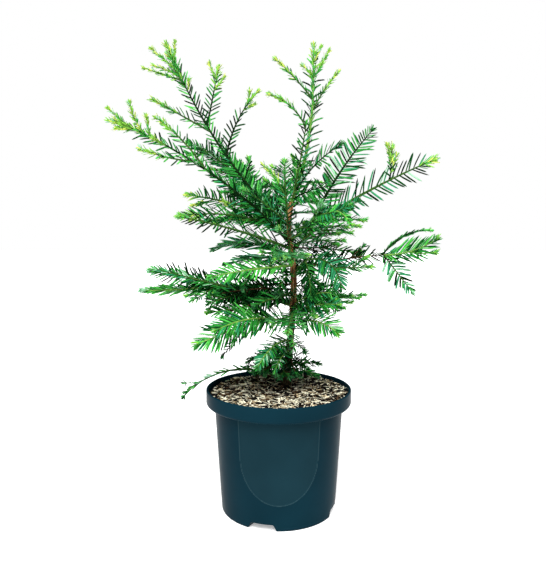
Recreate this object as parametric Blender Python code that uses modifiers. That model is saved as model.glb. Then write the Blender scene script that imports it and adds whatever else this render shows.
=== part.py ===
"""A young coast redwood in a round nursery pot.

One rigid object: a thin-walled pot, the soil that fills it, a slender stem that forks into two leaders near
its top, the main boughs, and the masses of needles that they carry. +Z is up, +X is the plant's right-hand
side and -Y its front. The origin is the middle of the pot's flat underside. Metres throughout.

Every shoot is one row of SHOOTS. A shoot leaves its parent at a share of the parent's length. It has a
heading (0 is +X, 90 is +Y) at its base and tip, a reach, which is how far its tip lies out from its base and
above it, and a bend, which is how many degrees it arches over on the way. A shoot with a negative bend sweeps
up instead. Needles stand out on both sides of it, so a shoot with its needles is a long uneven blade. The
blades of one mass are joined, and each mass is then cut back from its neighbours.
"""

import math
import random
from collections import namedtuple

import bmesh
import bpy
from mathutils import Vector

# Pot: outer sizes of a two-litre nursery pot.
RIM_RADIUS = 0.085
POT_HEIGHT = 0.144
LIP_HEIGHT = 0.0180
BODY_TOP_RADIUS = 0.0752
BASE_RADIUS = 0.0675
WALL = 0.0016
FOOT_CHAMFER = 0.0008
LIP_INSET = 0.0040  # the lip's inner face, in from the rim's radius, where it meets the shoulder
LIP_INNER_RISE = 0.0035
SHOULDER_DROP = 0.0020
LIP_EDGE = 0.0008
POT_SIDES = 36
SHARP_ANGLE = 35

# Underside: a flat middle and a raised outer floor, which four drainage channels cross below.
FLOOR_THICKNESS = 0.0022
FLAT_MIDDLE_RADIUS = 0.040
STEP_RUN = 0.004
OUTER_FLOOR_TOP = 0.0094
CHANNEL_HEIGHT = 0.0070
CHANNEL_START = 0.047
CHANNEL_WIDTH = 0.034
CHANNEL_TOP_WIDTH = 0.026
CHANNEL_HEADINGS = (-106.5, -16.5, 73.5, 163.5)
DRAIN_RADIUS = 0.004
DRAIN_REACH = 0.056
DRAIN_SIDES = 12
DRAIN_DEPTH = 0.02

# Soil: bark mulch, level, just below the rim.
SOIL_TOP = 0.1408
SOIL_EDGE_DROP = 0.0012
SOIL_BEVEL = 0.012
GAP = 0.0003
WELD = 1e-6

# Stem: the points its middle passes through, from the soil to the fork, and its radius.
STEM = (
    (0.009, 0.022, SOIL_TOP + GAP),  # on the soil, behind the pot's middle
    (0.014, 0.020, 0.195),
    (0.018, 0.017, 0.268),  # its furthest to the right
    (0.012, 0.018, 0.328),  # back again, at the lowest of the tall boughs
    (0.015, 0.020, 0.360),  # the fork
)
STEM_STEPS = 6
STRAIGHT_FOOT = 0.004  # rises straight out of the soil for this much
STEM_FLARE_RADIUS = 0.0068
STEM_BASE_RADIUS = 0.0046
STEM_TOP_RADIUS = 0.0028
FLARE_SPAN = 0.05

# A shoot's wood, and the blade of needles round it.
BOUGH_RADIUS = 0.0021
BOUGH_TAPER = 0.5
RADIUS_PER_LENGTH = 0.0055
STEPS = 24
LOOK_AROUND = 0.05
TIP_NEEDLES = 0.008
FULL_LENGTH = 0.075
LEAST_SPREAD = 0.50
UNEVEN = 0.15
BLADE_GAP = 0.0010
BLADE_SEGMENTS = 4
LEAST_RINGS = 5
RING_LENGTH = 0.026
NEEDLE_ROUGHNESS = 0.6
STYLES = {  # half width and half thickness of the blade, and its colour
    "young": (0.0130, 0.0065, (0.42, 0.56, 0.14)),
    "lush": (0.0190, 0.0042, (0.10, 0.36, 0.10)),
    "deep": (0.0180, 0.0042, (0.04, 0.18, 0.06)),
    "shade": (0.0160, 0.0045, (0.02, 0.09, 0.03)),
}

# name, parent, place along it, heading at base and tip, reach out and up, bend, tilt of the blade towards the
# front, style, share of the length that is a bare bough, foliage mass
Shoot = namedtuple("Shoot", "name parent place heading reach bend tilt style bare mass")
SHOOTS = (
    ("leader", "stem", 1.00, (5, 80), (0.029, 0.178), -25, 0, "young", 0.10, "leader"),
    ("leader_fork", "leader", 0.81, (0, 0), (0.017, 0.030), 0, 30, "young", 0, "leader"),
    ("leader_spur", "leader", 0.80, (160, 160), (0.011, 0.016), 20, 30, "young", 0, "leader"),
    ("leader_left", "leader", 0.68, (190, 190), (0.042, 0.042), 10, 40, "young", 0, "leader"),
    ("leader_right", "leader", 0.60, (20, 20), (0.033, 0.047), 15, 40, "young", 0, "leader"),
    ("twin", "stem", 0.99, (335, 300), (0.022, 0.088), 0, 0, "lush", 0.18, "twin"),
    ("twin_tip", "twin", 0.98, (200, 200), (0.042, 0.033), 50, 40, "young", 0, "twin"),
    ("inner_up", "stem", 0.85, (258, 264), (0.052, 0.071), -15, 0, "lush", 0, "inner_front"),
    ("inner_yellow", "stem", 0.93, (150, 150), (0.034, 0.058), 45, 30, "young", 0, "inner_left"),
    ("inner_right", "leader", 0.08, (320, 320), (0.060, 0.047), 30, 60, "deep", 0, "inner_right"),
    # the tall boughs on the left
    ("high_left", "stem", 0.84, (168, 165), (0.149, 0.220), -22, 40, "lush", 0.25, "high_left"),
    ("high_left_a", "high_left", 0.88, (200, 200), (0.030, 0.022), 0, 30, "young", 0, "high_left"),
    ("high_left_b", "high_left", 0.83, (200, 200), (0.044, 0.011), 0, 30, "young", 0, "high_left"),
    ("high_left_c", "high_left", 0.57, (215, 215), (0.072, 0.029), 0, 50, "lush", 0, "high_left"),
    ("high_left_d", "high_left", 0.60, (60, 60), (0.024, 0.070), 0, 30, "lush", 0, "high_left"),
    ("high_left_e", "high_left", 0.44, (340, 340), (0.038, 0.070), 35, 50, "deep", 0, "high_left"),
    ("left_upper", "high_left", 0.16, (150, 150), (0.110, 0.080), 25, 45, "lush", 0, "left_upper"),
    ("left_middle", "high_left", 0.10, (150, 150), (0.127, 0.027), 10, 45, "deep", 0, "left_middle"),
    ("far_left", "stem", 0.78, (200, 192), (0.195, 0.132), 25, 50, "deep", 0.22, "far_left"),
    ("far_left_a", "far_left", 0.87, (185, 185), (0.014, 0.031), -20, 30, "young", 0, "far_left"),
    ("far_left_b", "far_left", 0.84, (230, 230), (0.004, 0.020), 0, 30, "young", 0, "far_left"),
    ("far_left_c", "far_left", 0.62, (215, 215), (0.060, 0.009), -15, 45, "lush", 0, "far_left"),
    ("far_left_d", "far_left", 0.55, (165, 165), (0.057, 0.058), 20, 45, "lush", 0, "far_left"),
    # the level boughs on the left
    ("left_level", "far_left", 0.12, (195, 190), (0.107, 0.012), 30, 40, "lush", 0, "left_level"),
    ("left_front", "stem", 0.75, (215, 215), (0.142, 0.037), 10, 45, "deep", 0.20, "left_front"),
    ("left_blade", "stem", 0.69, (175, 170), (0.094, 0.012), 65, 8, "lush", 0, "left_blade"),
    ("bright_left", "stem", 0.66, (212, 212), (0.108, -0.008), 8, 50, "lush", 0.18, "bright_left"),
    ("bright_left_a", "bright_left", 0.30, (20, 20), (0.006, 0.020), 0, 30, "lush", 0, "bright_left"),
    ("bright_left_b", "bright_left", 0.50, (240, 240), (0.020, -0.018), 15, 30, "deep", 0,
     "bright_left"),
    ("low_left", "stem", 0.46, (185, 195), (0.165, 0.040), 0, 50, "deep", 0.20, "low_left"),
    ("low_left_a", "low_left", 0.54, (190, 190), (0.086, -0.004), -10, 45, "lush", 0, "low_left"),
    ("low_left_b", "low_left", 0.55, (225, 225), (0.034, -0.014), -10, 40, "lush", 0, "low_left"),
    ("low_left_c", "low_left", 0.30, (170, 170), (0.051, -0.019), 25, 30, "shade", 0, "low_left"),
    ("fan_left", "stem", 0.34, (222, 222), (0.112, 0.006), 40, 55, "lush", 0.16, "fan_left"),
    ("fan_left_a", "fan_left", 0.30, (215, 215), (0.096, -0.019), 12, 50, "lush", 0, "fan_left"),
    ("fan_left_b", "fan_left_a", 0.35, (200, 200), (0.027, -0.032), 0, 40, "deep", 0, "fan_left"),
    # the right-hand side
    ("middle_right", "stem", 0.80, (320, 320), (0.044, 0.041), -45, 50, "lush", 0.20, "middle_right"),
    ("middle_right_a", "middle_right", 0.78, (325, 325), (0.052, 0.014), -30, 55, "lush", 0,
     "middle_right"),
    ("middle_right_b", "middle_right", 0.36, (340, 340), (0.044, 0.001), 0, 30, "shade", 0,
     "middle_right"),
    ("middle_right_c", "middle_right_a", 0.50, (290, 290), (0.034, -0.013), 30, 40, "lush", 0,
     "middle_right"),
    ("feather_right", "middle_right", 0.35, (335, 335), (0.147, 0.075), 12, 60, "deep", 0.22,
     "feather_right"),
    ("feather_right_a", "feather_right", 0.70, (20, 20), (0.002, 0.033), 0, 30, "young", 0,
     "feather_right"),
    ("high_right", "middle_right", 0.75, (30, 30), (0.080, 0.100), 15, 50, "lush", 0, "high_right"),
    ("thin_right", "stem", 0.76, (40, 40), (0.071, 0.001), -15, 40, "shade", 0, "thin_right"),
    ("thin_right_a", "thin_right", 0.65, (350, 350), (0.049, -0.006), 0, 30, "lush", 0, "thin_right"),
    ("long_right", "stem", 0.63, (2, 2), (0.107, 0.019), 15, 40, "shade", 0.22, "long_right"),
    ("long_right_a", "long_right", 0.99, (15, 15), (0.061, 0.029), 55, 30, "lush", 0, "long_right"),
    ("long_right_b", "long_right", 1.00, (340, 340), (0.060, 0.019), -35, 50, "lush", 0, "long_right"),
    ("long_right_c", "long_right_b", 0.48, (320, 320), (0.030, 0.000), -25, 50, "lush", 0, "long_right"),
    ("long_right_d", "long_right", 1.00, (318, 318), (0.038, -0.040), 0, 50, "deep", 0, "long_right"),
    ("fan_right", "stem", 0.59, (325, 325), (0.063, -0.006), 165, 55, "lush", 0.18, "fan_right"),
    ("fan_right_a", "fan_right", 0.20, (300, 300), (0.028, -0.035), 60, 40, "deep", 0, "fan_right"),
    ("fan_right_b", "fan_right", 0.75, (350, 350), (0.040, 0.002), 0, 40, "lush", 0, "fan_right"),
    ("low_right", "stem", 0.40, (320, 320), (0.064, 0.016), 30, 55, "lush", 0.18, "low_right"),
    ("low_right_front", "stem", 0.34, (315, 315), (0.070, -0.001), 55, 55, "lush", 0, "low_right_front"),
    # the foot of the stem
    ("front_drooping", "stem", 0.25, (238, 238), (0.070, -0.018), 55, 45, "lush", 0, "front_drooping"),
    ("foot_left", "stem", 0.13, (205, 205), (0.045, 0.008), 15, 30, "deep", 0, "foot_left"),
    ("foot_front", "stem", 0.14, (235, 235), (0.053, -0.003), 10, 30, "shade", 0, "foot_left"),
    ("foot_back", "stem", 0.10, (140, 140), (0.062, -0.009), 5, 20, "shade", 0, "foot_left"),
    ("foot_right", "stem", 0.11, (350, 350), (0.036, 0.003), 20, 40, "deep", 0, "foot_right"),
    ("foot_right_a", "foot_right", 0.12, (30, 30), (0.018, 0.012), 80, 20, "shade", 0, "foot_right"),
    ("rim_twig", "stem", 0.02, (178, 178), (0.124, -0.020), 80, 0, "lush", 0, "rim_twig"),
    # towards the front and the back
    ("front_middle", "stem", 0.68, (268, 262), (0.123, 0.014), 18, 0, "lush", 0.16, "front_middle"),
    ("front_low", "stem", 0.39, (270, 262), (0.115, 0.001), 30, 0, "lush", 0.16, "front_low"),
    ("back_top", "stem", 0.88, (95, 88), (0.110, 0.083), 0, 0, "lush", 0.20, "back_top"),
    ("back_left", "stem", 0.79, (118, 112), (0.149, 0.101), 12, 10, "deep", 0.20, "back_left"),
    ("back_right", "stem", 0.74, (58, 64), (0.150, 0.050), 8, 10, "deep", 0.20, "back_right"),
    ("back_middle", "stem", 0.57, (92, 84), (0.183, 0.027), 10, 0, "deep", 0.18, "back_middle"),
    ("back_low_left", "stem", 0.44, (136, 128), (0.165, 0.006), 16, 10, "shade", 0.18, "back_low_left"),
    ("back_low_right", "stem", 0.38, (58, 66), (0.149, 0.011), 20, 10, "shade", 0.18, "back_low_right"),
)

MATERIALS = {  # colour, roughness
    "pot": ((0.016, 0.045, 0.060), 0.32),
    "soil": ((0.18, 0.11, 0.06), 0.9),
    "bark": ((0.16, 0.075, 0.03), 0.8),
}


def material(name, colour, roughness):
    """A Principled material, made once."""
    made = bpy.data.materials.get(name)
    if made is None:
        made = bpy.data.materials.new(name)
        made.use_nodes = True
        shader = made.node_tree.nodes["Principled BSDF"]
        shader.inputs["Base Color"].default_value = (*colour, 1.0)
        shader.inputs["Roughness"].default_value = roughness
        made.diffuse_color = (*colour, 1.0)
    return made


def clear_scene():
    for old in list(bpy.data.objects):
        bpy.data.objects.remove(old, do_unlink=True)


def new_collection(name):
    made = bpy.data.collections.new(name)
    bpy.context.scene.collection.children.link(made)
    return made


def add(name, data, collection):
    obj = bpy.data.objects.new(name, data)
    collection.objects.link(obj)
    return obj


def baked(obj, collection):
    """The object with its modifiers applied and its loose caps welded, in place of the first."""
    depsgraph = bpy.context.evaluated_depsgraph_get()
    mesh = bpy.data.meshes.new_from_object(obj.evaluated_get(depsgraph))
    name = obj.name
    bpy.data.objects.remove(obj, do_unlink=True)
    bm = bmesh.new()
    bm.from_mesh(mesh)
    bmesh.ops.remove_doubles(bm, verts=bm.verts[:], dist=WELD)
    keep_largest_body(bm)
    bm.to_mesh(mesh)
    bm.free()
    return add(name, mesh, collection)


def keep_largest_body(bm):
    """Drops the crumbs that a cut leaves beside the main body."""
    bodies, unseen = [], set(bm.faces)
    while unseen:
        body, front = set(), [unseen.pop()]
        while front:
            face = front.pop()
            body.add(face)
            for edge in face.edges:
                for other in edge.link_faces:
                    if other in unseen:
                        unseen.discard(other)
                        front.append(other)
        bodies.append(body)
    largest = max(bodies, key=lambda faces: sum(face.calc_area() for face in faces))
    crumbs = [face for body in bodies if body is not largest for face in body]
    bmesh.ops.delete(bm, geom=crumbs, context="FACES")


def boolean(obj, cutter, operation, solver="EXACT"):
    modifier = obj.modifiers.new(cutter.name, "BOOLEAN")
    modifier.operation = operation
    modifier.object = cutter
    modifier.solver = solver


def as_cutter(obj):
    obj.hide_render = True
    obj.display_type = "WIRE"
    return obj


def turned(name, profile, collection, sides=POT_SIDES):
    """A profile of radius and height, turned about the Z axis."""
    mesh = bpy.data.meshes.new(name)
    points = [(radius, 0.0, height) for radius, height in profile]
    mesh.from_pydata(points, [(i, i + 1) for i in range(len(points) - 1)], [])
    obj = add(name, mesh, collection)
    screw = obj.modifiers.new("turn", "SCREW")
    screw.steps = screw.render_steps = sides
    screw.use_merge_vertices = True
    screw.merge_threshold = WELD
    return obj


def wall_radius(height):
    """The pot's outer radius below its lip."""
    share = height / (POT_HEIGHT - LIP_HEIGHT)
    return BASE_RADIUS + (BODY_TOP_RADIUS - BASE_RADIUS) * share


def pot_profile():
    """Floor, up the inside, over the rim, down the outside."""
    lip_bottom = POT_HEIGHT - LIP_HEIGHT
    inner_floor = wall_radius(OUTER_FLOOR_TOP) - WALL
    return (
        (0.0, FLOOR_THICKNESS),
        (FLAT_MIDDLE_RADIUS, FLOOR_THICKNESS),
        (FLAT_MIDDLE_RADIUS + STEP_RUN, OUTER_FLOOR_TOP),
        (inner_floor, OUTER_FLOOR_TOP),
        (BODY_TOP_RADIUS - WALL, lip_bottom - SHOULDER_DROP),
        (RIM_RADIUS - LIP_INSET, lip_bottom + LIP_INNER_RISE),
        (RIM_RADIUS - 0.0028, POT_HEIGHT - LIP_EDGE),
        (RIM_RADIUS - 0.0018, POT_HEIGHT),
        (RIM_RADIUS - LIP_EDGE, POT_HEIGHT),
        (RIM_RADIUS, POT_HEIGHT - 0.0010),
        (RIM_RADIUS, lip_bottom + 0.0040),
        (RIM_RADIUS - 0.0015, lip_bottom + 0.0012),
        (RIM_RADIUS - 0.0045, lip_bottom),
        (BODY_TOP_RADIUS, lip_bottom - LIP_EDGE),
        (wall_radius(FOOT_CHAMFER), FOOT_CHAMFER),
        (BASE_RADIUS - FOOT_CHAMFER, 0.0),
        (0.0, 0.0),
    )


def channel_cutter(heading, collection):
    """A wedge of trapezoid section that runs outwards from under the floor to past the wall."""
    bm = bmesh.new()
    bmesh.ops.create_cube(bm, size=1.0)
    far = BASE_RADIUS + 0.02
    for vert in bm.verts:
        outward = far if vert.co.x > 0 else CHANNEL_START
        top = vert.co.z > 0
        width = (CHANNEL_TOP_WIDTH if top else CHANNEL_WIDTH) * (outward / BASE_RADIUS)
        vert.co = (outward, math.copysign(width / 2, vert.co.y), CHANNEL_HEIGHT if top else -0.01)
    mesh = bpy.data.meshes.new("channel")
    bm.to_mesh(mesh)
    bm.free()
    obj = as_cutter(add("channel", mesh, collection))
    obj.rotation_euler.z = math.radians(heading)
    return obj


def drain_cutter(heading, collection):
    bm = bmesh.new()
    bmesh.ops.create_cone(
        bm, cap_ends=True, segments=DRAIN_SIDES, radius1=DRAIN_RADIUS, radius2=DRAIN_RADIUS, depth=DRAIN_DEPTH
    )
    mesh = bpy.data.meshes.new("drain")
    bm.to_mesh(mesh)
    bm.free()
    obj = as_cutter(add("drain", mesh, collection))
    angle = math.radians(heading)
    obj.location = (DRAIN_REACH * math.cos(angle), DRAIN_REACH * math.sin(angle), CHANNEL_HEIGHT)
    return obj


def make_pot(parts, cutters):
    pot = turned("pot", pot_profile(), parts)
    used = []
    for heading in CHANNEL_HEADINGS:
        used += [channel_cutter(heading, cutters), drain_cutter(heading, cutters)]
    for cutter in used:
        boolean(pot, cutter, "DIFFERENCE")
    pot = baked(pot, parts)
    for cutter in used:
        bpy.data.objects.remove(cutter, do_unlink=True)
    pot.data.shade_smooth()
    pot.data.set_sharp_from_angle(angle=math.radians(SHARP_ANGLE))
    return pot


def soil_profile(clearance=0.0):
    """Down from the middle of the surface, inside the pot, to the middle of its floor."""
    grow = clearance - GAP
    lip_bottom = POT_HEIGHT - LIP_HEIGHT
    top = SOIL_TOP + clearance
    edge = RIM_RADIUS - 0.0036 + grow
    return (
        (0.0, top),
        (edge - SOIL_BEVEL, top),
        (edge, top - SOIL_EDGE_DROP),
        (RIM_RADIUS - LIP_INSET + grow, lip_bottom + LIP_INNER_RISE),
        (BODY_TOP_RADIUS - WALL + grow, lip_bottom - SHOULDER_DROP),
        (wall_radius(OUTER_FLOOR_TOP) - WALL + grow, OUTER_FLOOR_TOP - grow),
        (FLAT_MIDDLE_RADIUS + STEP_RUN + grow, OUTER_FLOOR_TOP - grow),
        (FLAT_MIDDLE_RADIUS + grow, FLOOR_THICKNESS - grow),
        (0.0, FLOOR_THICKNESS - grow),
    )


def rim_profile():
    """A ring that the foliage keeps out of, round the rim."""
    inner, outer, top = RIM_RADIUS - 0.005, RIM_RADIUS + 0.0006, POT_HEIGHT + 0.0006
    return ((inner, 0.1), (inner, top), (outer, top), (outer, 0.1), (inner, 0.1))


def stem_radius(share):
    """Taper from the base to the fork, with a flare at the foot."""
    taper = STEM_BASE_RADIUS + (STEM_TOP_RADIUS - STEM_BASE_RADIUS) * share
    flare = max(0.0, 1.0 - share / FLARE_SPAN)
    return taper + (STEM_FLARE_RADIUS - STEM_BASE_RADIUS) * flare**2


def lengths_along(path):
    """The share of the whole length that each point of a path has reached."""
    steps = [(b - a).length for a, b in zip(path, path[1:])]
    total = sum(steps)
    shares = [0.0]
    for step in steps:
        shares.append(shares[-1] + step / total)
    return shares


def point_at(path, share):
    """The point at a share of a path's length."""
    shares = lengths_along(path)
    for index in range(len(path) - 1):
        if share <= shares[index + 1] or index == len(path) - 2:
            part = (share - shares[index]) / (shares[index + 1] - shares[index])
            return path[index].lerp(path[index + 1], part)


def direction_at(path, share):
    """The direction in which a path runs at a share of its length."""
    before = point_at(path, max(0.0, share - LOOK_AROUND))
    return (point_at(path, min(1.0, share + LOOK_AROUND)) - before).normalized()


def arc_length(reach, bend):
    """The length of an arc over a given reach out and up, which turns through bend degrees."""
    half = math.radians(bend) / 2
    return math.hypot(*reach) * (half / math.sin(half) if half else 1.0)


def grow(start, heading, reach, bend):
    """A shoot's axis: an arc from its base to its tip, whose heading turns evenly on the way."""
    out, up = reach
    chord = math.atan2(up, out)
    stride = arc_length(reach, bend) / STEPS
    path = [start.copy()]
    for step in range(STEPS):
        t = (step + 0.5) / STEPS
        turn = math.radians(heading[0] + (heading[1] - heading[0]) * t)
        lift = chord + math.radians(bend) * (0.5 - t)
        along = Vector((math.cos(turn) * math.cos(lift), math.sin(turn) * math.cos(lift), math.sin(lift)))
        path.append(path[-1] + along * stride)
    return path


def smooth_curve(points, steps):
    """A smooth curve through a few points (Catmull-Rom)."""
    points = [Vector(point) for point in points]
    curve = [points[0]]
    for index in range(len(points) - 1):
        a, b = points[index], points[index + 1]
        before, after = points[max(0, index - 1)], points[min(len(points) - 1, index + 2)]
        for step in range(1, steps + 1):
            t = step / steps
            leave, arrive = (b - before) / 2, (after - a) / 2
            curve.append(
                a * (1 + t * t * (2 * t - 3)) + b * (t * t * (3 - 2 * t))
                + leave * (t * (1 - t) ** 2) - arrive * (t * t * (1 - t))
            )
    return curve


def stem_path():
    """The stem's axis: straight up out of the soil for a little, then one smooth curve."""
    foot = Vector(STEM[0])
    return [foot] + smooth_curve((foot + Vector((0.0, 0.0, STRAIGHT_FOOT)), *STEM[1:]), STEM_STEPS)


def stretch(path, first, last):
    """Evenly spaced points on the stretch of a path between two shares of its length."""
    count = max(3, round((last - first) * STEPS / 2))
    return [point_at(path, first + (last - first) * i / count) for i in range(count + 1)]


def limb(name, path, radii, collection, resolution=1):
    """A tapering round limb along a path."""
    curve = bpy.data.curves.new(name, "CURVE")
    curve.dimensions = "3D"
    curve.bevel_depth = radii[0]
    curve.bevel_resolution = resolution
    curve.use_fill_caps = True
    spline = curve.splines.new("POLY")
    spline.points.add(len(path) - 1)
    for point, place, radius in zip(spline.points, path, radii):
        point.co = (*place, 1.0)
        point.radius = radius / radii[0]
    return baked(add(name, curve, collection), collection)


def blade_width(share):
    """The outline of a blade of needles, as a share of its full half width."""
    return min(1.0, 0.45 + share / 0.25) * min(1.0, 0.30 + 0.70 * (1.0 - share) / 0.40)


def blade(shoot, path, collection, extra=0.0):
    """One closed uneven blade round a shoot, from the end of its bare stretch to just past its tip."""
    half_width, half_thickness, _ = STYLES[shoot.style]
    first = shoot.bare
    length = arc_length(shoot.reach, shoot.bend)
    spread = max(LEAST_SPREAD, min(1.0, length / FULL_LENGTH))
    dice = random.Random(shoot.name)
    rings = LEAST_RINGS + round(length * (1 - first) / RING_LENGTH)
    bm = bmesh.new()
    bmesh.ops.create_uvsphere(bm, u_segments=BLADE_SEGMENTS, v_segments=rings, radius=1.0)
    tip = (path[-1] - path[-2]).normalized() * (TIP_NEEDLES * spread + extra)
    for vert in sorted(bm.verts, key=lambda v: v.index):
        share = 1.0 - math.acos(max(-1.0, min(1.0, vert.co.z))) / math.pi
        place = first + (1.0 - first) * share
        across = Vector((vert.co.x, vert.co.y))
        uneven = 1.0 + UNEVEN * dice.uniform(-1.0, 1.0)
        here = point_at(path, place)
        ahead = direction_at(path, place)
        level = Vector((0.0, 0.0, 1.0)).cross(ahead)
        level = level.normalized() if level.length > 1e-3 else Vector((0.0, 1.0, 0.0))
        upward = ahead.cross(level)
        lean = math.radians(shoot.tilt) * ahead.x / max(1e-6, math.hypot(ahead.x, ahead.y))
        side = level * math.cos(lean) + upward * math.sin(lean)
        face = ahead.cross(side)
        if across.length > 1e-6:
            across.normalize()
            width = half_width * spread * blade_width(share) * uneven + extra
            thickness = half_thickness * spread * blade_width(share) * uneven + extra
            vert.co = here + side * (across.x * width) + face * (across.y * thickness)
        else:
            vert.co = here + (tip if share > 0.5 else -ahead * extra)
    bmesh.ops.triangulate(bm, faces=bm.faces[:])
    mesh = bpy.data.meshes.new(shoot.name)
    bm.to_mesh(mesh)
    bm.free()
    return add(shoot.name, mesh, collection)


def box_of(obj):
    corners = [obj.matrix_world @ v.co for v in obj.data.vertices]
    low = [min(c[i] for c in corners) for i in range(3)]
    high = [max(c[i] for c in corners) for i in range(3)]
    return low, high


def near(box, other):
    return all(box[0][i] < other[1][i] and other[0][i] < box[1][i] for i in range(3))


def cut_clear(obj, keep_out, collection):
    """Cuts an object back from every clearance body that its box meets."""
    box = box_of(obj)
    for cutter, cutter_box in keep_out:
        if near(box, cutter_box):
            boolean(obj, cutter, "DIFFERENCE", "MANIFOLD")
    return baked(obj, collection)


def main():
    clear_scene()
    parts = new_collection("coast_redwood_tree")
    cutters = new_collection("cutters")
    bark = material("bark", *MATERIALS["bark"])
    keep_out = []

    def keep_clear(obj):
        as_cutter(obj)
        keep_out.append((obj, box_of(obj)))

    pot = make_pot(parts, cutters)
    pot.data.materials.append(material("pot", *MATERIALS["pot"]))
    soil = baked(turned("soil", soil_profile(), parts), parts)
    soil.data.materials.append(material("soil", *MATERIALS["soil"]))
    keep_clear(baked(turned("soil+", soil_profile(GAP * 2), cutters), cutters))
    keep_clear(baked(turned("rim+", rim_profile(), cutters), cutters))

    stem = stem_path()
    radii = [stem_radius(share) for share in lengths_along(stem)]
    trunk = limb("trunk", stem, radii, parts, resolution=2)
    trunk.data.materials.append(bark)
    keep_clear(limb("trunk+", stem, [r + GAP * 2 for r in radii], cutters, resolution=2))

    shoots = [Shoot(*row) for row in SHOOTS]
    paths = {"stem": stem}
    for shoot in shoots:
        start = point_at(paths[shoot.parent], shoot.place)
        paths[shoot.name] = grow(start, shoot.heading, shoot.reach, shoot.bend)

    for shoot in [shoot for shoot in shoots if shoot.bare]:
        axis = stretch(paths[shoot.name], 0.0, shoot.bare)
        thick = min(BOUGH_RADIUS, arc_length(shoot.reach, shoot.bend) * RADIUS_PER_LENGTH * 2)
        radii = [thick * (1 - BOUGH_TAPER * shoot.bare * i / len(axis)) for i in range(len(axis))]
        bough = limb("bough_" + shoot.name, axis, radii, parts)
        bough = cut_clear(bough, keep_out, parts)
        bough.data.materials.append(bark)
        past_end = axis[:-1] + [axis[-1] + (axis[-1] - axis[-2]).normalized() * GAP * 2]
        keep_clear(limb("bough+", past_end, [r + GAP * 2 for r in radii], cutters))

    masses = {}
    for shoot in shoots:
        masses.setdefault(shoot.mass, []).append(shoot)
    for mass, members in masses.items():
        pieces = [blade(shoot, paths[shoot.name], cutters) for shoot in members]
        foliage = pieces[0]
        foliage.name = "foliage_" + mass
        for piece in pieces[1:]:
            boolean(foliage, as_cutter(piece), "UNION", "MANIFOLD")
        foliage = baked(foliage, cutters)
        for piece in pieces[1:]:
            bpy.data.objects.remove(piece, do_unlink=True)
        foliage = cut_clear(foliage, keep_out, parts)
        style = members[0].style
        foliage.data.materials.append(material("needles_" + style, STYLES[style][2], NEEDLE_ROUGHNESS))
        for shoot in members:
            keep_clear(blade(shoot, paths[shoot.name], cutters, BLADE_GAP))

    for cutter, _ in keep_out:
        bpy.data.objects.remove(cutter, do_unlink=True)
    origin = add("pot_underside", None, parts)
    for obj in list(parts.objects):
        if obj is not origin:
            obj.parent = origin


main()
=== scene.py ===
"""The looks of a young coast redwood in its nursery pot.

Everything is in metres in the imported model's frame: the origin is the middle of the pot's flat underside,
+Z is up, +X the plant's right-hand side and -Y its front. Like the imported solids, the plant is grown from a
table of shoots, which is longer here. Each shoot is a tapering stem that carries needles in two ranks, a
tuft at its tip and, in some looks, side twigs by a seeded rule. Needles are joined into pieces by colour,
and stems by the kind of their bark. Angles are in degrees unless a function says otherwise.
"""

import math
import random
from collections import namedtuple

import bpy
import numpy as np
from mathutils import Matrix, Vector, noise


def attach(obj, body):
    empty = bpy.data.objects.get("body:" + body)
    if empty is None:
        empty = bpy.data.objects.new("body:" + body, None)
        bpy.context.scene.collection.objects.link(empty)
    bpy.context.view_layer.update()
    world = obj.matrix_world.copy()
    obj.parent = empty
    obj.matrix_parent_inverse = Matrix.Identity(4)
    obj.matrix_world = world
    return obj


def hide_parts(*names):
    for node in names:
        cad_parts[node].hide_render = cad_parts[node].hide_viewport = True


BODY = "root"
UP = Vector((0.0, 0.0, 1.0))
FRONT = Vector((0.0, -1.0, 0.0))

# Camera: in front, a little lower than the fork, looking slightly down.
CAMERA_PLACE = (-0.0066, -0.7085, 0.3399)
CAMERA_PITCH = 6.25
CAMERA_LENS = 38.62
SENSOR_WIDTH = 36.0
NEAREST_SEEN = 0.02

# Studio: a sun as key light, two softboxes (place, size, watts), a glowing floor and white surroundings.
KEY_PLACE = (-0.10, -0.72, 1.45)
KEY_STRENGTH = 6.4
KEY_SPREAD = 56
SOFTBOXES = {
    "strip_left": ((-0.60, -0.80, 0.35), (0.10, 0.7), 0.9),
    "window_right": ((0.78, -0.86, 0.35), (0.95, 0.9), 1.6),
}
SOFTBOX_TARGET = (0.0, 0.0, 0.10)
SKY_LIGHT = 0.05
SKY_SEEN = 1.0
WHITE = (1.0, 1.0, 1.0, 1.0)
FLOOR_SIZE = 12.0
FLOOR_DROP = 0.0002
FLOOR_COLOUR = (0.86, 0.86, 0.86, 1.0)
FLOOR_ROUGHNESS = 0.9
FLOOR_GLOW = 0.38

# Stem: the points its middle passes through, from the soil to the fork, and its radius.
STEM = (
    (0.009, 0.022, 0.1411),  # on the soil, behind the pot's middle
    (0.014, 0.020, 0.195),
    (0.018, 0.017, 0.268),  # its furthest to the right
    (0.012, 0.018, 0.328),  # back again, at the lowest of the tall boughs
    (0.015, 0.020, 0.360),  # the fork
)
STEM_STEPS = 6
STRAIGHT_FOOT = 0.004
STEM_FLARE_RADIUS = 0.0068
STEM_BASE_RADIUS = 0.0046
STEM_TOP_RADIUS = 0.0028
FLARE_SPAN = 0.05
STEPS = 24

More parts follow.
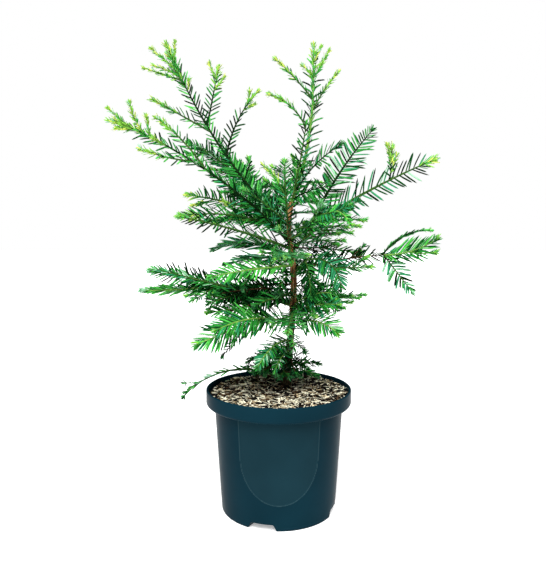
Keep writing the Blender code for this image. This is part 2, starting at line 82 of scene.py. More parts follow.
# name, parent, place along it, heading (0 is +X, 90 is +Y, a pair where it turns from base to tip), reach
# out and up from base to tip, bend (how far it arches over; below 0 it sweeps up), tilt of the needles' plane
# towards the front, look, bare share of the length if any, and foliage mass. A mass that isn't named is the
# parent's or, on the stem, the one of the shoot's own name.
SHOOTS = (
    ("leader", "stem", 1.00, (5, 80), (0.029, 0.178), -25, 0, "leader", 0.04),
    ("leader_fork", "leader", 0.81, 0, (0.017, 0.030), 0, 30, "finger"),
    ("leader_top", "leader", 0.90, 0, (0.008, 0.018), 10, 30, "finger"),
    ("leader_spur", "leader", 0.80, 160, (0.011, 0.016), 20, 30, "finger"),
    ("leader_left", "leader", 0.68, 190, (0.042, 0.042), 10, 40, "young"),
    ("leader_right", "leader", 0.60, 20, (0.033, 0.047), 15, 40, "slim"),
    ("twin", "stem", 0.99, (335, 300), (0.022, 0.088), 0, 0, "twin", 0.05),
    ("twin_clump", "twin", 0.34, (205, 200), (0.004, 0.021), 20, 20, "bright"),
    ("twin_tip", "twin", 0.98, 200, (0.042, 0.033), 50, 40, "young"),
    ("inner_up", "stem", 0.85, (258, 264), (0.034, 0.062), -15, 0, "twin", 0, "inner_front"),
    ("inner_yellow", "stem", 0.93, 150, (0.034, 0.058), 45, 30, "young", 0, "inner_left"),
    ("inner_right", "leader", 0.08, 320, (0.060, 0.047), 30, 60, "quill", 0, "inner_right"),
    ("inner_right_b", "leader", 0.02, (322, 330), (0.048, 0.014), 20, 60, "quill", 0, "inner_right"),
    ("inner_low", "stem", 0.80, (250, 255), (0.042, 0.013), 30, 0, "rib", 0, "inner_front"),
    ("inner_drop", "stem", 0.81, (270, 275), (0.024, -0.025), 65, 0, "rib", 0, "inner_front"),
    ("inner_cross", "stem", 0.88, (200, 215), (0.057, 0.039), 15, 40, "rib", 0, "inner_left"),
    ("inner_back", "stem", 0.86, (120, 130), (0.062, 0.040), 20, 20, "rib", 0, "inner_left"),
    ("inner_right_low", "stem", 0.83, (300, 310), (0.048, 0.007), 35, 40, "deep", 0, "inner_right"),
    # the tall boughs on the left
    ("high_left", "stem", 0.84, (168, 165), (0.149, 0.220), -22, 40, "tall", 0.06),
    ("high_left_a", "high_left", 0.88, 200, (0.030, 0.022), 0, 30, "finger"),
    ("high_left_f", "high_left", 0.86, 170, (0.031, 0.012), 0, 30, "finger"),
    ("high_left_g", "high_left", 0.93, 30, (0.002, 0.020), 0, 30, "finger"),
    ("high_left_h", "high_left", 0.78, 330, (0.002, 0.012), 0, 30, "finger"),
    ("high_left_b", "high_left", 0.83, 200, (0.044, 0.011), 0, 30, "slim"),
    ("high_left_c", "high_left", 0.57, 215, (0.072, 0.029), 0, 50, "young"),
    ("high_left_d", "high_left", 0.60, 60, (0.024, 0.070), 0, 30, "airy"),
    ("high_left_e", "high_left", 0.44, 340, (0.038, 0.070), 35, 50, "airy"),
    ("high_left_i", "stem", 0.84, (168, 167), (0.077, 0.092), -10, 40, "quill", 0.12, "high_left"),
    ("left_upper_b", "high_left", 0.16, 150, (0.100, 0.073), 25, 45, "band", 0, "left_upper"),
    ("left_upper", "high_left", 0.16, 150, (0.110, 0.080), 25, 45, "lush", 0, "left_upper"),
    ("left_middle", "high_left", 0.10, 150, (0.127, 0.027), 10, 45, "budding", 0, "left_middle"),
    ("far_left", "stem", 0.78, (200, 192), (0.195, 0.132), 25, 50, "tall", 0.06),
    ("far_left_g", "stem", 0.78, (200, 196), (0.090, 0.077), 12, 50, "quill", 0.12, "far_left"),
    ("far_left_a", "far_left", 0.87, 185, (0.014, 0.031), -20, 30, "finger"),
    ("far_left_e", "far_left", 0.94, 200, (0.020, 0.017), 0, 30, "finger"),
    ("far_left_f", "far_left", 0.92, 170, (0.026, 0.009), 0, 30, "finger"),
    ("far_left_b", "far_left", 0.84, 230, (0.004, 0.020), 0, 30, "finger"),
    ("far_left_c", "far_left", 0.62, 215, (0.060, 0.009), -15, 45, "young"),
    ("far_left_d", "far_left", 0.55, 165, (0.057, 0.058), 20, 45, "young"),
    # the level boughs on the left
    ("left_level", "far_left", 0.12, (195, 190), (0.107, 0.012), 30, 40, "budding", 0, "left_level"),
    ("left_level_b", "far_left", 0.12, (195, 190), (0.080, 0.006), 26, 40, "pressed", 0, "left_level"),
    ("left_front", "stem", 0.75, 215, (0.142, 0.037), 10, 45, "rib", 0.04),
    ("left_blade", "stem", 0.69, (175, 170), (0.094, 0.012), 65, 8, "blade", 0.10),
    ("left_blade_b", "stem", 0.70, (195, 180), (0.077, -0.006), 25, 8, "blade", 0.05, "left_blade"),
    ("bright_left", "stem", 0.66, 212, (0.108, -0.008), 8, 50, "bright", 0.06),
    ("bright_left_a", "bright_left", 0.30, 20, (0.006, 0.020), 0, 30, "lush"),
    ("bright_left_b", "bright_left", 0.50, 240, (0.020, -0.018), 15, 30, "deep"),
    ("low_left", "stem", 0.46, (185, 195), (0.165, 0.040), 0, 50, "comb", 0.06),
    ("low_left_a", "low_left", 0.54, 190, (0.086, -0.004), -10, 45, "pressed"),
    ("low_left_k", "low_left", 0.30, (188, 196), (0.112, 0.030), 0, 50, "band"),
    ("low_left_b", "low_left", 0.55, 225, (0.034, -0.014), -10, 40, "lush"),
    ("low_left_c", "low_left", 0.30, 170, (0.051, -0.019), 25, 30, "shade"),
    ("low_left_d", "low_left", 0.10, (220, 210), (0.069, -0.009), 15, 45, "shade"),
    ("low_left_e", "low_left", 0.22, (165, 175), (0.065, -0.004), 15, 40, "shade"),
    ("low_left_f", "low_left", 0.34, (230, 215), (0.054, -0.009), 10, 45, "deep"),
    ("low_left_g", "low_left", 0.16, (190, 195), (0.073, -0.015), -20, 45, "bright"),
    ("low_left_h", "stem", 0.53, (200, 190), (0.088, -0.002), 18, 45, "shade", 0, "low_left"),
    ("low_left_i", "stem", 0.50, (236, 222), (0.066, -0.005), 20, 45, "deep", 0, "low_left"),
    ("low_left_j", "stem", 0.56, (170, 180), (0.079, -0.010), 14, 30, "shade", 0, "low_left"),
    ("low_left_star", "stem", 0.51, (244, 250), (0.050, 0.004), 0, 0, "rosette", 0, "low_left"),
    ("low_left_front", "stem", 0.43, (256, 262), (0.024, -0.023), 55, 0, "rosette", 0, "low_left"),
    ("fan_left", "stem", 0.34, 222, (0.112, 0.006), 40, 55, "fan", 0.05),
    ("fan_left_a", "fan_left", 0.30, 215, (0.096, -0.019), 12, 50, "fan"),
    ("fan_left_b", "fan_left_a", 0.35, 200, (0.027, -0.032), 0, 40, "sparse"),
    ("fan_left_star", "fan_left", 0.28, (264, 266), (0.030, 0.004), 10, 0, "star"),
    # the right-hand side
    ("middle_right", "stem", 0.80, 320, (0.044, 0.041), -45, 50, "pressed", 0.08),
    ("middle_right_a", "middle_right", 0.78, 325, (0.052, 0.014), -30, 55, "teal_fan"),
    ("middle_right_b", "middle_right", 0.36, 340, (0.044, 0.001), 0, 30, "creeping"),
    ("middle_right_c", "middle_right_a", 0.50, 290, (0.034, -0.013), 30, 40, "bright"),
    ("middle_right_d", "stem", 0.79, (318, 322), (0.046, 0.040), -30, 50, "pressed", 0, "middle_right"),
    ("middle_right_e", "middle_right", 0.60, (322, 326), (0.050, 0.016), -18, 62, "fan"),
    ("feather_right", "middle_right", 0.35, 335, (0.147, 0.075), 12, 60, "feather", 0.18, "feather_right"),
    ("feather_right_a", "feather_right", 0.70, 20, (0.002, 0.033), 0, 30, "airy"),
    ("high_right", "middle_right", 0.75, 30, (0.080, 0.100), 15, 50, "quill", 0, "high_right"),
    ("thin_right", "stem", 0.76, 40, (0.071, 0.001), -15, 40, "shade"),
    ("thin_right_a", "thin_right", 0.65, 350, (0.049, -0.006), 0, 30, "lush"),
    ("long_right", "stem", 0.63, 2, (0.107, 0.019), 15, 40, "shade", 0.10),
    ("long_right_a", "long_right", 0.99, 15, (0.061, 0.029), 55, 30, "stroke"),
    ("long_right_b", "long_right", 1.00, 340, (0.060, 0.019), -35, 50, "fan"),
    ("long_right_c", "long_right_b", 0.48, 320, (0.030, 0.000), -25, 50, "bright"),
    ("long_right_d", "long_right", 1.00, 318, (0.038, -0.040), 0, 50, "mint"),
    ("fan_right", "stem", 0.59, 325, (0.063, -0.006), 165, 55, "teal_fan", 0.45),
    ("fan_right_a", "fan_right", 0.20, 300, (0.028, -0.035), 60, 40, "deep"),
    ("fan_right_b", "fan_right", 0.75, 350, (0.040, 0.002), 0, 40, "lush"),
    ("fan_right_c", "fan_right", 0.30, (285, 280), (0.022, -0.038), 45, 30, "deep"),
    ("fan_right_d", "fan_right", 0.45, 330, (0.026, -0.042), 45, 40, "rib"),
    ("fan_right_e", "stem", 0.55, (350, 340), (0.050, -0.026), 70, 40, "deep", 0, "fan_right"),
    ("low_right", "stem", 0.40, 320, (0.064, 0.016), 30, 55, "fan", 0.06),
    ("low_right_up", "stem", 0.44, (318, 325), (0.055, 0.020), 40, 70, "curtain", 0, "low_right"),
    ("low_right_front", "stem", 0.34, 315, (0.070, -0.001), 55, 55, "fan"),
    # the foot of the stem
    ("front_drooping", "stem", 0.25, 238, (0.070, -0.018), 55, 45, "frosted"),
    ("front_drooping_a", "stem", 0.22, (222, 226), (0.052, -0.016), 40, 45, "frosted", 0, "front_drooping"),
    ("front_drooping_b", "stem", 0.19, (252, 248), (0.050, -0.012), 50, 30, "frosted", 0, "front_drooping"),
    ("front_drooping_c", "stem", 0.24, 300, (0.030, -0.004), 40, 30, "deep", 0, "front_drooping"),
    ("foot_left", "stem", 0.13, 205, (0.045, 0.008), 15, 30, "deep"),
    ("foot_front", "stem", 0.14, 235, (0.053, -0.003), 10, 30, "shade", 0, "foot_left"),
    ("foot_back", "stem", 0.10, 140, (0.062, -0.009), 5, 20, "shade", 0, "foot_left"),
    ("foot_right", "stem", 0.11, 350, (0.036, 0.003), 20, 40, "deep"),
    ("foot_right_a", "foot_right", 0.12, 30, (0.018, 0.012), 80, 20, "shade"),
    ("foot_left_b", "stem", 0.16, (190, 200), (0.049, -0.003), 45, 30, "shade", 0, "foot_left"),
    ("foot_left_c", "stem", 0.20, (222, 215), (0.050, -0.019), 50, 40, "deep", 0, "foot_left"),
    ("foot_front_b", "stem", 0.08, (262, 255), (0.044, 0.003), 40, 0, "deep", 0, "foot_left"),
    ("foot_front_c", "stem", 0.17, (275, 285), (0.037, -0.013), 45, 0, "shade", 0, "front_drooping"),
    ("foot_right_b", "stem", 0.09, (310, 320), (0.045, 0.000), 30, 30, "deep", 0, "foot_right"),
    ("foot_back_b", "stem", 0.09, (70, 60), (0.055, 0.000), 20, 20, "shade", 0, "foot_right"),
    ("rim_twig", "stem", 0.02, 178, (0.124, -0.020), 80, 0, "creeping"),
    ("rim_twig_a", "rim_twig", 0.78, 205, (0.021, -0.011), 20, 0, "creeping"),
    ("rim_twig_b", "rim_twig", 0.84, 150, (0.017, -0.001), 20, 0, "creeping"),
    # towards the front and the back
    ("front_middle", "stem", 0.68, (268, 262), (0.123, 0.014), 18, 0, "lush", 0.06),
    ("front_low", "stem", 0.39, (270, 262), (0.115, 0.001), 30, 0, "lush", 0.06),
    ("front_drop", "stem", 0.33, (268, 280), (0.034, -0.019), 45, 0, "star", 0, "front_low"),
    ("front_fill", "stem", 0.62, (250, 240), (0.043, -0.013), 40, 20, "deep", 0, "front_middle"),
    ("front_fill_low", "stem", 0.45, (285, 290), (0.038, -0.019), 50, 20, "deep", 0, "front_low"),
    ("back_top", "stem", 0.88, (95, 88), (0.110, 0.083), 0, 0, "lush", 0.06),
    ("back_left", "stem", 0.79, (118, 112), (0.149, 0.101), 12, 10, "lush", 0.06),
    ("back_right", "stem", 0.74, (58, 64), (0.150, 0.050), 8, 10, "lush", 0.06),
    ("back_middle", "stem", 0.57, (92, 84), (0.183, 0.027), 10, 0, "lush", 0.06),
    ("back_low_left", "stem", 0.44, (136, 128), (0.165, 0.006), 16, 10, "deep", 0.06),
    ("back_low_right", "stem", 0.38, (58, 66), (0.149, 0.011), 20, 10, "deep", 0.06),
)

# Side shoots that fill out the boughs behind the stem: their places, turn from the bough, reach and look.
BACK_BOUGHS = ("back_top", "back_left", "back_right", "back_middle", "back_low_left", "back_low_right")
BACK_SIDE_PLACES = (0.14, 0.22, 0.30, 0.38, 0.46, 0.54, 0.62)
BACK_SIDE_TURN = 50
BACK_SIDE_REACH = (0.052, 0.003)
BACK_SIDE_BEND = 12
BACK_SIDE_LOOK = "lush"

# Needle colours: upper face, lower face, roughness. Most lower faces are paler, as on a redwood's needles.
TONES = {
    "gold": ((0.62, 0.74, 0.13), (0.46, 0.60, 0.14), 0.50),
    "lime": ((0.24, 0.58, 0.06), (0.22, 0.48, 0.09), 0.48),
    "bright": ((0.070, 0.47, 0.060), (0.11, 0.38, 0.12), 0.42),
    "green": ((0.020, 0.240, 0.030), (0.06, 0.24, 0.075), 0.42),
    "teal": ((0.022, 0.250, 0.095), (0.15, 0.42, 0.25), 0.42),
    "pale": ((0.30, 0.62, 0.36), (0.34, 0.60, 0.42), 0.46),
    # dark: the needles' own dark green, darkened further as painted shade for needles in shadow. The almost
    # black tone after it is painted shade only, for needles deep in the crown's shadow.
    "dark": ((0.004, 0.062, 0.010), (0.02, 0.10, 0.035), 0.46),
    "night": ((0.0015, 0.016, 0.003), (0.005, 0.030, 0.010), 0.50),
}
# the two tones that carry painted shade; they take the duller gloss
DARK_AND_SHADE_TONES = ("dark", "night")
GLOSS = 0.22
DARK_GLOSS = 0.03

# Needle length and width, spacing along one side, angle to the stem at mid length and at the tip, scatter
# about the flat of the spray, forward curl, sag, spacing of side twigs (0 for none), stem kind, length of the
# tip, which is crowded with short needles, the tip's colours, and the shares of the tones along the shoot.
Look = namedtuple("Look", "length width spacing open close scatter curl sag twigs stem tip crown tones")
# In the shares of tones, dark is partly and the almost black tone wholly painted shade.
LOOKS = {
    "leader": Look(0.018, 0.0019, 0.0078, 48, 28, 28, -0.20, 0.02, 0, "fresh", 0.19, "yellow",
                   dict(green=4, dark=4, night=4)),
    "twin": Look(0.018, 0.0020, 0.0060, 44, 32, 20, -0.10, 0.02, 0, "green", 0.0, "fresh",
                 dict(green=4, teal=2, dark=5, night=2)),
    "young": Look(0.013, 0.0018, 0.0050, 50, 28, 26, 0.12, 0.02, 0, "green", 0.034, "yellow",
                  dict(green=4, bright=2, dark=5)),
    "slim": Look(0.010, 0.0016, 0.0048, 34, 20, 28, 0.05, 0.0, 0, "green", 0.036, "yellow",
                 dict(green=4, dark=4, lime=1)),
    "finger": Look(0.011, 0.0016, 0.0060, 46, 28, 40, 0.05, 0.0, 0, "fresh", 0.050, "yellow",
                   dict(lime=4, gold=2, green=1)),
    "tall": Look(0.0135, 0.0020, 0.0046, 48, 28, 26, 0.10, 0.03, 0, "dark", 0.058, "yellow",
                 dict(green=6, bright=3, dark=4, night=2)),
    "airy": Look(0.015, 0.0020, 0.0056, 44, 32, 14, -0.10, 0.02, 0, "dark", 0.022, "yellow",
                 dict(dark=5, night=4, green=4)),
    "sparse": Look(0.014, 0.0019, 0.0046, 52, 30, 12, 0.05, 0.02, 0, "dark", 0.0, "dull",
                   dict(dark=4, night=6)),
    "quill": Look(0.022, 0.0023, 0.0032, 62, 34, 16, 0.08, 0.08, 0, "dark", 0.0, "dull",
                  dict(dark=4, night=2, green=6, teal=3, pale=1)),
    "feather": Look(0.024, 0.0021, 0.0050, 62, 34, 10, 0.08, 0.03, 0, "green", 0.018, "yellow",
                    dict(dark=4, night=5, teal=3, pale=1)),
    "band": Look(0.014, 0.0022, 0.0026, 40, 20, 22, 0.06, 0.03, 0, "green", 0.012, "mint",
                 dict(teal=4, green=5, pale=2, dark=2)),
    "comb": Look(0.021, 0.0021, 0.0036, 62, 30, 12, 0.06, 0.03, 0, "dark", 0.020, "mint",
                 dict(dark=5, night=5, green=2, teal=1)),
    "rib": Look(0.021, 0.0020, 0.0044, 56, 30, 16, 0.22, 0.03, 0, "green", 0.012, "fresh",
                dict(dark=5, night=4, green=3, teal=1)),
    "blade": Look(0.023, 0.0025, 0.0021, 26, 14, 34, 0.04, 0.02, 0, "green", 0.0, "dull",
                  dict(teal=4, green=4, dark=3)),
    "lush": Look(0.020, 0.0021, 0.0034, 56, 28, 18, 0.14, 0.04, 0.024, "green", 0.010, "fresh",
                 dict(green=5, dark=5, bright=2, teal=1)),
    "budding": Look(0.020, 0.0021, 0.0036, 56, 30, 18, 0.14, 0.04, 0.030, "green", 0.022, "yellow",
                    dict(green=4, dark=6, bright=1)),
    "bright": Look(0.019, 0.0022, 0.0026, 50, 26, 16, 0.12, 0.04, 0, "fresh", 0.008, "fresh",
                   dict(bright=7, green=4, dark=1)),
    "fan": Look(0.026, 0.0021, 0.0021, 50, 24, 16, 0.12, 0.05, 0, "fresh", 0.006, "fresh",
                dict(bright=5, green=5, teal=2, dark=2)),
    "star": Look(0.018, 0.0021, 0.0024, 74, 40, 75, 0.05, 0.03, 0, "fresh", 0.0, "fresh",
                 dict(bright=5, green=4, teal=2)),
    "rosette": Look(0.018, 0.0021, 0.0024, 74, 44, 75, 0.05, 0.03, 0, "green", 0.0, "dull",
                    dict(green=6, bright=1, dark=4)),
    "frosted": Look(0.018, 0.0020, 0.0024, 60, 30, 14, 0.12, 0.06, 0, "fresh", 0.0, "fresh",
                    dict(pale=3, teal=3, green=5, dark=2)),
    "mint": Look(0.021, 0.0029, 0.0038, 58, 30, 14, 0.10, 0.10, 0, "green", 0.010, "mint",
                 dict(pale=3, teal=5, green=3, night=3)),
    "teal_fan": Look(0.020, 0.0021, 0.0019, 66, 40, 14, 0.10, 0.06, 0, "green", 0.0, "dull",
                     dict(teal=6, green=3, dark=2)),
    "curtain": Look(0.028, 0.0021, 0.0021, 66, 44, 14, 0.08, 0.03, 0, "fresh", 0.0, "fresh",
                    dict(green=7, dark=4, teal=3, bright=1)),
    "stroke": Look(0.010, 0.0016, 0.0022, 16, 12, 30, 0.02, 0.0, 0, "dark", 0.014, "fresh",
                   dict(dark=4, green=4, night=2)),
    "pressed": Look(0.016, 0.0022, 0.0022, 30, 16, 18, 0.04, 0.02, 0, "fresh", 0.012, "mint",
                    dict(bright=6, green=4, pale=2, dark=1)),
    # deep and shade: mostly the dark and almost black tones, painted shade for the dense foliage inside the
    # crown
    "deep": Look(0.020, 0.0021, 0.0032, 58, 30, 20, 0.15, 0.05, 0.024, "green", 0.0, "dull",
                 dict(dark=6, green=4, night=2)),
    "shade": Look(0.018, 0.0021, 0.0034, 58, 34, 26, 0.15, 0.06, 0.028, "woody", 0.0, "dull",
                  dict(night=6, dark=5, green=1)),
    "creeping": Look(0.013, 0.0029, 0.0044, 46, 26, 18, 0.1, 0.02, 0, "green", 0.0, "mint",
                     dict(green=5, bright=3, pale=2)),
}

# Shares of the tones in a crowded tip: at its very end, in its middle, and in the rest of it.
CROWNS = {
    "yellow": (dict(gold=3, lime=6, pale=1), dict(lime=6, bright=4, gold=1),
               dict(lime=2, bright=5, green=4, dark=1)),
    "fresh": (dict(lime=3, bright=6), dict(bright=6, green=4, lime=1), dict(green=5, bright=3)),
    "mint": (dict(pale=5, bright=4), dict(pale=3, green=5), dict(green=5, dark=3)),
    "dull": (dict(green=5, bright=2), dict(green=5, dark=3), dict(green=3, dark=5)),
}

# Needle shape: stations along it, its width there as a share of the whole, and its groove's and keel's depth.
NEEDLE_STATIONS = (0.0, 0.10, 0.42, 0.84, 1.0)
NEEDLE_WIDTHS = (0.36, 0.82, 1.0, 0.86, 0.0)
GROOVE = 0.10
KEEL = 0.14
NEEDLES_PER_PIECE = 3800

# How needles shorten towards the two ends of a shoot.
BASE_RUN = 0.020
TIP_RUN = 0.034
LEAST_NEEDLE = 0.34
FULL_SHOOT = 0.070
TUFT = 9

# The crowded tip: spacing of its short needles, their length, and the fingers that some looks carry there.
CROWD_SPACING = 0.0011
CROWD_NEEDLE = 0.0082
CROWD_WIDTH = 0.0017
CROWD_TURN = 2.4
FINGERED = {"tall": 3, "airy": 2}
FINGER_LENGTH = 0.018
FINGER_ANGLE = 34
FINGER_STEPS = 6
FINGER_RADIUS = 0.0011
FINGER_TAPER = 0.0001

# Side twigs: angle to the stem, length as a share of the stem's, and the stretch of stem that carries them.
TWIG_ANGLE = 48
TWIG_SHARE = 0.30
TWIG_LENGTH = 0.040
TWIG_LEAST = 0.012
TWIG_FIRST = 0.14
TWIG_SPAN = 0.72
TWIG_STEPS = 8
TWIG_NEEDLES = 0.80
TWIG_BARE = 0.04

# Stems. Each kind has a material, its roughness, and its colours at three values of the noise.
BOUGH_RADIUS = 0.0021
RADIUS_PER_LENGTH = 0.011
TIP_RADIUS = 0.0005
BOUGH_TAPER = 0.85
STEM_RING = 0.0022
STEM_SIDES = 8
STEM_RIDGES = 900
STEM_RELIEF = 0.14
TRUNK_RING = 0.0008
TRUNK_SIDES = 44
TRUNK_RELIEF = 0.00042
# Below these heights the bark turns to darker colours: painted shade for the foot of the stem, in the shadow
# of the boughs.
BARK_SHADE_BELOW = (0.200, 0.245)  # the heights between which the bark's colour changes
STEM_KINDS = {
    "woody": ("twig_bark", 0.8, ((0.30, (0.010, 0.006, 0.003)), (0.52, (0.040, 0.021, 0.010)),
                                 (0.70, (0.12, 0.070, 0.032)))),
    "dark": ("twig_dark", 0.6, ((0.30, (0.002, 0.006, 0.002)), (0.55, (0.005, 0.020, 0.004)),
                                (0.78, (0.020, 0.070, 0.010)))),
    "green": ("twig_green", 0.6, ((0.30, (0.012, 0.040, 0.008)), (0.55, (0.035, 0.10, 0.015)),
                                  (0.75, (0.11, 0.16, 0.04)))),
    "fresh": ("twig_fresh", 0.5, ((0.30, (0.07, 0.17, 0.03)), (0.55, (0.16, 0.34, 0.06)),
                                  (0.75, (0.30, 0.48, 0.12)))),
}
# The bark's own colours first, then darker ones, which are painted shade where the boughs shadow the foot of
# the stem.
UPPER_BARK = ((0.34, (0.020, 0.010, 0.005)), (0.46, (0.13, 0.048, 0.016)), (0.57, (0.36, 0.17, 0.06)),
              (0.70, (0.62, 0.42, 0.22)))
SHADED_LOWER_BARK = ((0.36, (0.006, 0.006, 0.003)), (0.52, (0.030, 0.022, 0.009)), (0.70, (0.12, 0.085, 0.035)))

# Pot: outer sizes of a two-litre nursery pot, and the panels pressed into its front and back.
RIM_RADIUS = 0.085
POT_HEIGHT = 0.144
LIP_HEIGHT = 0.0180
LIP_BOTTOM = POT_HEIGHT - LIP_HEIGHT
BODY_TOP_RADIUS = 0.0752
BASE_RADIUS = 0.0675
WALL = 0.0016
FOOT_CHAMFER = 0.0008
CHAMFER_MIDDLE = 0.0003
FLOOR_THICKNESS = 0.0022
FLAT_MIDDLE_RADIUS = 0.040
STEP_RUN = 0.004
OUTER_FLOOR_TOP = 0.0094
RIM_ROUND = 0.0013
RIM_ROUND_INSET = 0.0014
LIP_ROUND = 0.0036
LIP_FILLET = 0.0012
LIP_INSIDE = 0.0038
LIP_STEP = (-0.002, 0.0035)  # the inside's slope behind the lip, from and to this far from its bottom
WALL_TOP = LIP_BOTTOM - 0.0018
PANEL_TOP = LIP_BOTTOM - 0.0015
CHANNEL_HEIGHT = 0.0070
CHANNEL_START = 0.047
CHANNEL_WIDTH = 0.034
CHANNEL_TOP_WIDTH = 0.026
CHANNEL_END_RUN = 0.001
CHANNEL_HEADINGS = (-106.5, -16.5, 73.5, 163.5)
DRAIN_RADIUS = 0.004
DRAIN_REACH = 0.056
DRILL_LENGTH = 0.02
DRAIN_SIDES = 40
POT_SIDES = 480
WALL_RINGS = 170
FOOT_RINGS = 6
UNDER_RINGS = 22
INSIDE_POINTS = 6  # the first points of the pot's profile, which are on the inside
FOOT_BAND = 0.013
PANEL_HEADINGS = (-90, 90)
PANEL_HALF_WIDTH = 0.0474
PANEL_STRAIGHT_TO = 0.079
PANEL_BOTTOM = 0.030
PANEL_DEPTH = 0.0006
PANEL_EDGE = 0.0008
PANEL_RIDGE = 0.00028
PANEL_FADE = 0.004
SHARP_FROM = 32  # degrees between faces
# The wall has the plastic's own colour; the panels' lighter colour is painted sheen and the paler line along
# their edges a painted highlight.
POT_COLOURS = {
    "pot_wall": (0.0027, 0.0180, 0.0275),
    "pot_panel_painted_sheen": (0.0060, 0.0238, 0.0330),
    "pot_panel_edge_painted_highlight": (0.0150, 0.0370, 0.0460),
}

# Soil: bark mulch, almost flush with the rim. Its bumps are noise: cells per metre, layer, height.
SOIL_TOP = 0.1408
SOIL_RADIUS = 0.0810
SOIL_BED_DROP = 0.0022
SOIL_EDGE_DROP = 0.0012
SOIL_EDGE_RUN = 0.012
SOIL_BUMPS = ((55, 1.0, 0.0011), (240, 5.0, 0.0008))
SOIL_RINGS = 60
SOIL_SIDES = 200
SOIL_GAP = 0.0006
SOIL_UNDER_LIP = 0.1300
SOIL_IN_BODY = 0.1236
# Near black: the compost's own dark colour, darkened further as painted shade in the gaps between the chips.
COMPOST_AND_GAP_SHADE_COLOUR = (0.005, 0.0035, 0.0025)
CHIP_TONES = {  # colour, share of the chips at the back, share at the front
    "cream": ((1.0, 0.94, 0.72), 1.9, 4.8),
    "tan": ((0.58, 0.46, 0.28), 1.6, 1.9),
    "brown": ((0.10, 0.055, 0.028), 2.4, 1.2),
    # dark: near-black chips, painted shade that stands for the shadowed gaps between the chips
    "dark": ((0.007, 0.005, 0.004), 6.0, 5.0),
}
CHIP_COUNT = 2500
CHIP_INSET = 0.003
CHIP_LEAST = 0.0046
CHIP_MEAN_MORE = 0.0036
CHIP_MOST = 0.018
CHIP_AT_WALL = 0.0044
CHIP_WIDTHS = (0.0008, 0.0017)
CHIP_REST = 0.0004
CHIP_PILE = 0.0028
# A chip's stations: place along it and width there; the corners of its section: sideways and up.
CHIP_STATIONS = ((-0.5, 0.28), (-0.38, 0.8), (-0.05, 1.0), (0.30, 0.82), (0.5, 0.2))
CHIP_CORNERS = ((-1.0, 0), (-0.55, 1), (0.6, 1), (1.0, 0), (0.5, -1), (-0.6, -1))


def lengths_along(path):
    """The share of the whole length that each point of a path has reached."""
    steps = [(b - a).length for a, b in zip(path, path[1:])]
    total = sum(steps)
    shares = [0.0]
    for step in steps:
        shares.append(shares[-1] + step / total)
    return shares


def point_at(path, share):
    """The point at a share of a path's length."""
    shares = lengths_along(path)
    for index in range(len(path) - 1):
        if share <= shares[index + 1] or index == len(path) - 2:
            part = (share - shares[index]) / (shares[index + 1] - shares[index])
            return path[index].lerp(path[index + 1], part)


def direction_at(path, share):
    """The direction in which a path runs at a share of its length."""
    before = point_at(path, max(0.0, share - 0.05))
    return (point_at(path, min(1.0, share + 0.05)) - before).normalized()


def turned(first, second, angle):
    """A direction turned from the first towards the second by an angle in radians."""
    return first * math.cos(angle) + second * math.sin(angle)


def square_to(along, face):
    """The face direction made square to another direction."""
    return (face - along * along.dot(face)).normalized()


def polar(radius, angle):
    """x and y of a place at a radius and an angle in radians."""
    return radius * math.cos(angle), radius * math.sin(angle)


def round_angles(sides):
    """The angles of a circle's corners."""
    return [2 * math.pi * side / sides for side in range(sides)]


def around(rings, sides, start=0):
    """Each pair of neighbouring corners, ring by ring; start is the number of the first corner."""
    for first in range(start, start + rings * sides, sides):
        for side in range(sides):
            yield first + side, first + (side + 1) % sides


def arc_length(reach, bend):
    """The length of an arc over a given reach out and up, which turns through bend degrees."""
    half = math.radians(bend) / 2
    return math.hypot(*reach) * (half / math.sin(half) if half else 1.0)


def grow(start, heading, reach, bend):
    """A shoot's axis: an arc from its base to its tip, whose heading turns evenly on the way."""
    base, tip = heading if isinstance(heading, tuple) else (heading, heading)
    out, up = reach
    chord = math.atan2(up, out)
    stride = arc_length(reach, bend) / STEPS
    path = [start.copy()]
    for step in range(STEPS):
        t = (step + 0.5) / STEPS
        turn = math.radians(base + (tip - base) * t)
        lift = chord + math.radians(bend) * (0.5 - t)
        along = Vector((math.cos(turn) * math.cos(lift), math.sin(turn) * math.cos(lift), math.sin(lift)))
        path.append(path[-1] + along * stride)
    return path


def smooth_curve(points, steps):
    """A smooth curve through a few points (Catmull-Rom)."""
    points = [Vector(point) for point in points]
    curve = [points[0]]
    for index in range(len(points) - 1):
        a, b = points[index], points[index + 1]
        before, after = points[max(0, index - 1)], points[min(len(points) - 1, index + 2)]
        leave, arrive = (b - before) / 2, (after - a) / 2
        for step in range(1, steps + 1):
            t = step / steps
            curve.append(
                a * (1 + t * t * (2 * t - 3)) + b * (t * t * (3 - 2 * t))
                + leave * (t * (1 - t) ** 2) - arrive * (t * t * (1 - t))
            )
    return curve


def stem_path():
    """The stem's axis: straight up out of the soil for a little, then one smooth curve."""
    foot = Vector(STEM[0])
    return [foot] + smooth_curve((foot + Vector((0.0, 0.0, STRAIGHT_FOOT)), *STEM[1:]), STEM_STEPS)


def clamp(value):
    """The value, kept between 0 and 1."""
    return max(0.0, min(1.0, value))


def smooth(low, high, value):
    """0 below low, 1 above high, and a smooth slope between."""
    t = clamp((value - low) / (high - low))
    return t * t * (3 - 2 * t)


def spray_face(ahead, tilt):
    """The upper face of a flat spray whose stem runs ahead. An upright spray faces the front."""
    level = UP.cross(ahead)
    level = level.normalized() if level.length > 1e-3 else Vector((0.0, 1.0, 0.0))
    lean = math.radians(tilt) * ahead.x / max(1e-6, math.hypot(ahead.x, ahead.y))
    face = ahead.cross(turned(level, ahead.cross(level), lean))
    upright = smooth(0.78, 0.96, abs(ahead.z))
    return square_to(ahead, face.lerp(square_to(ahead, FRONT), upright))


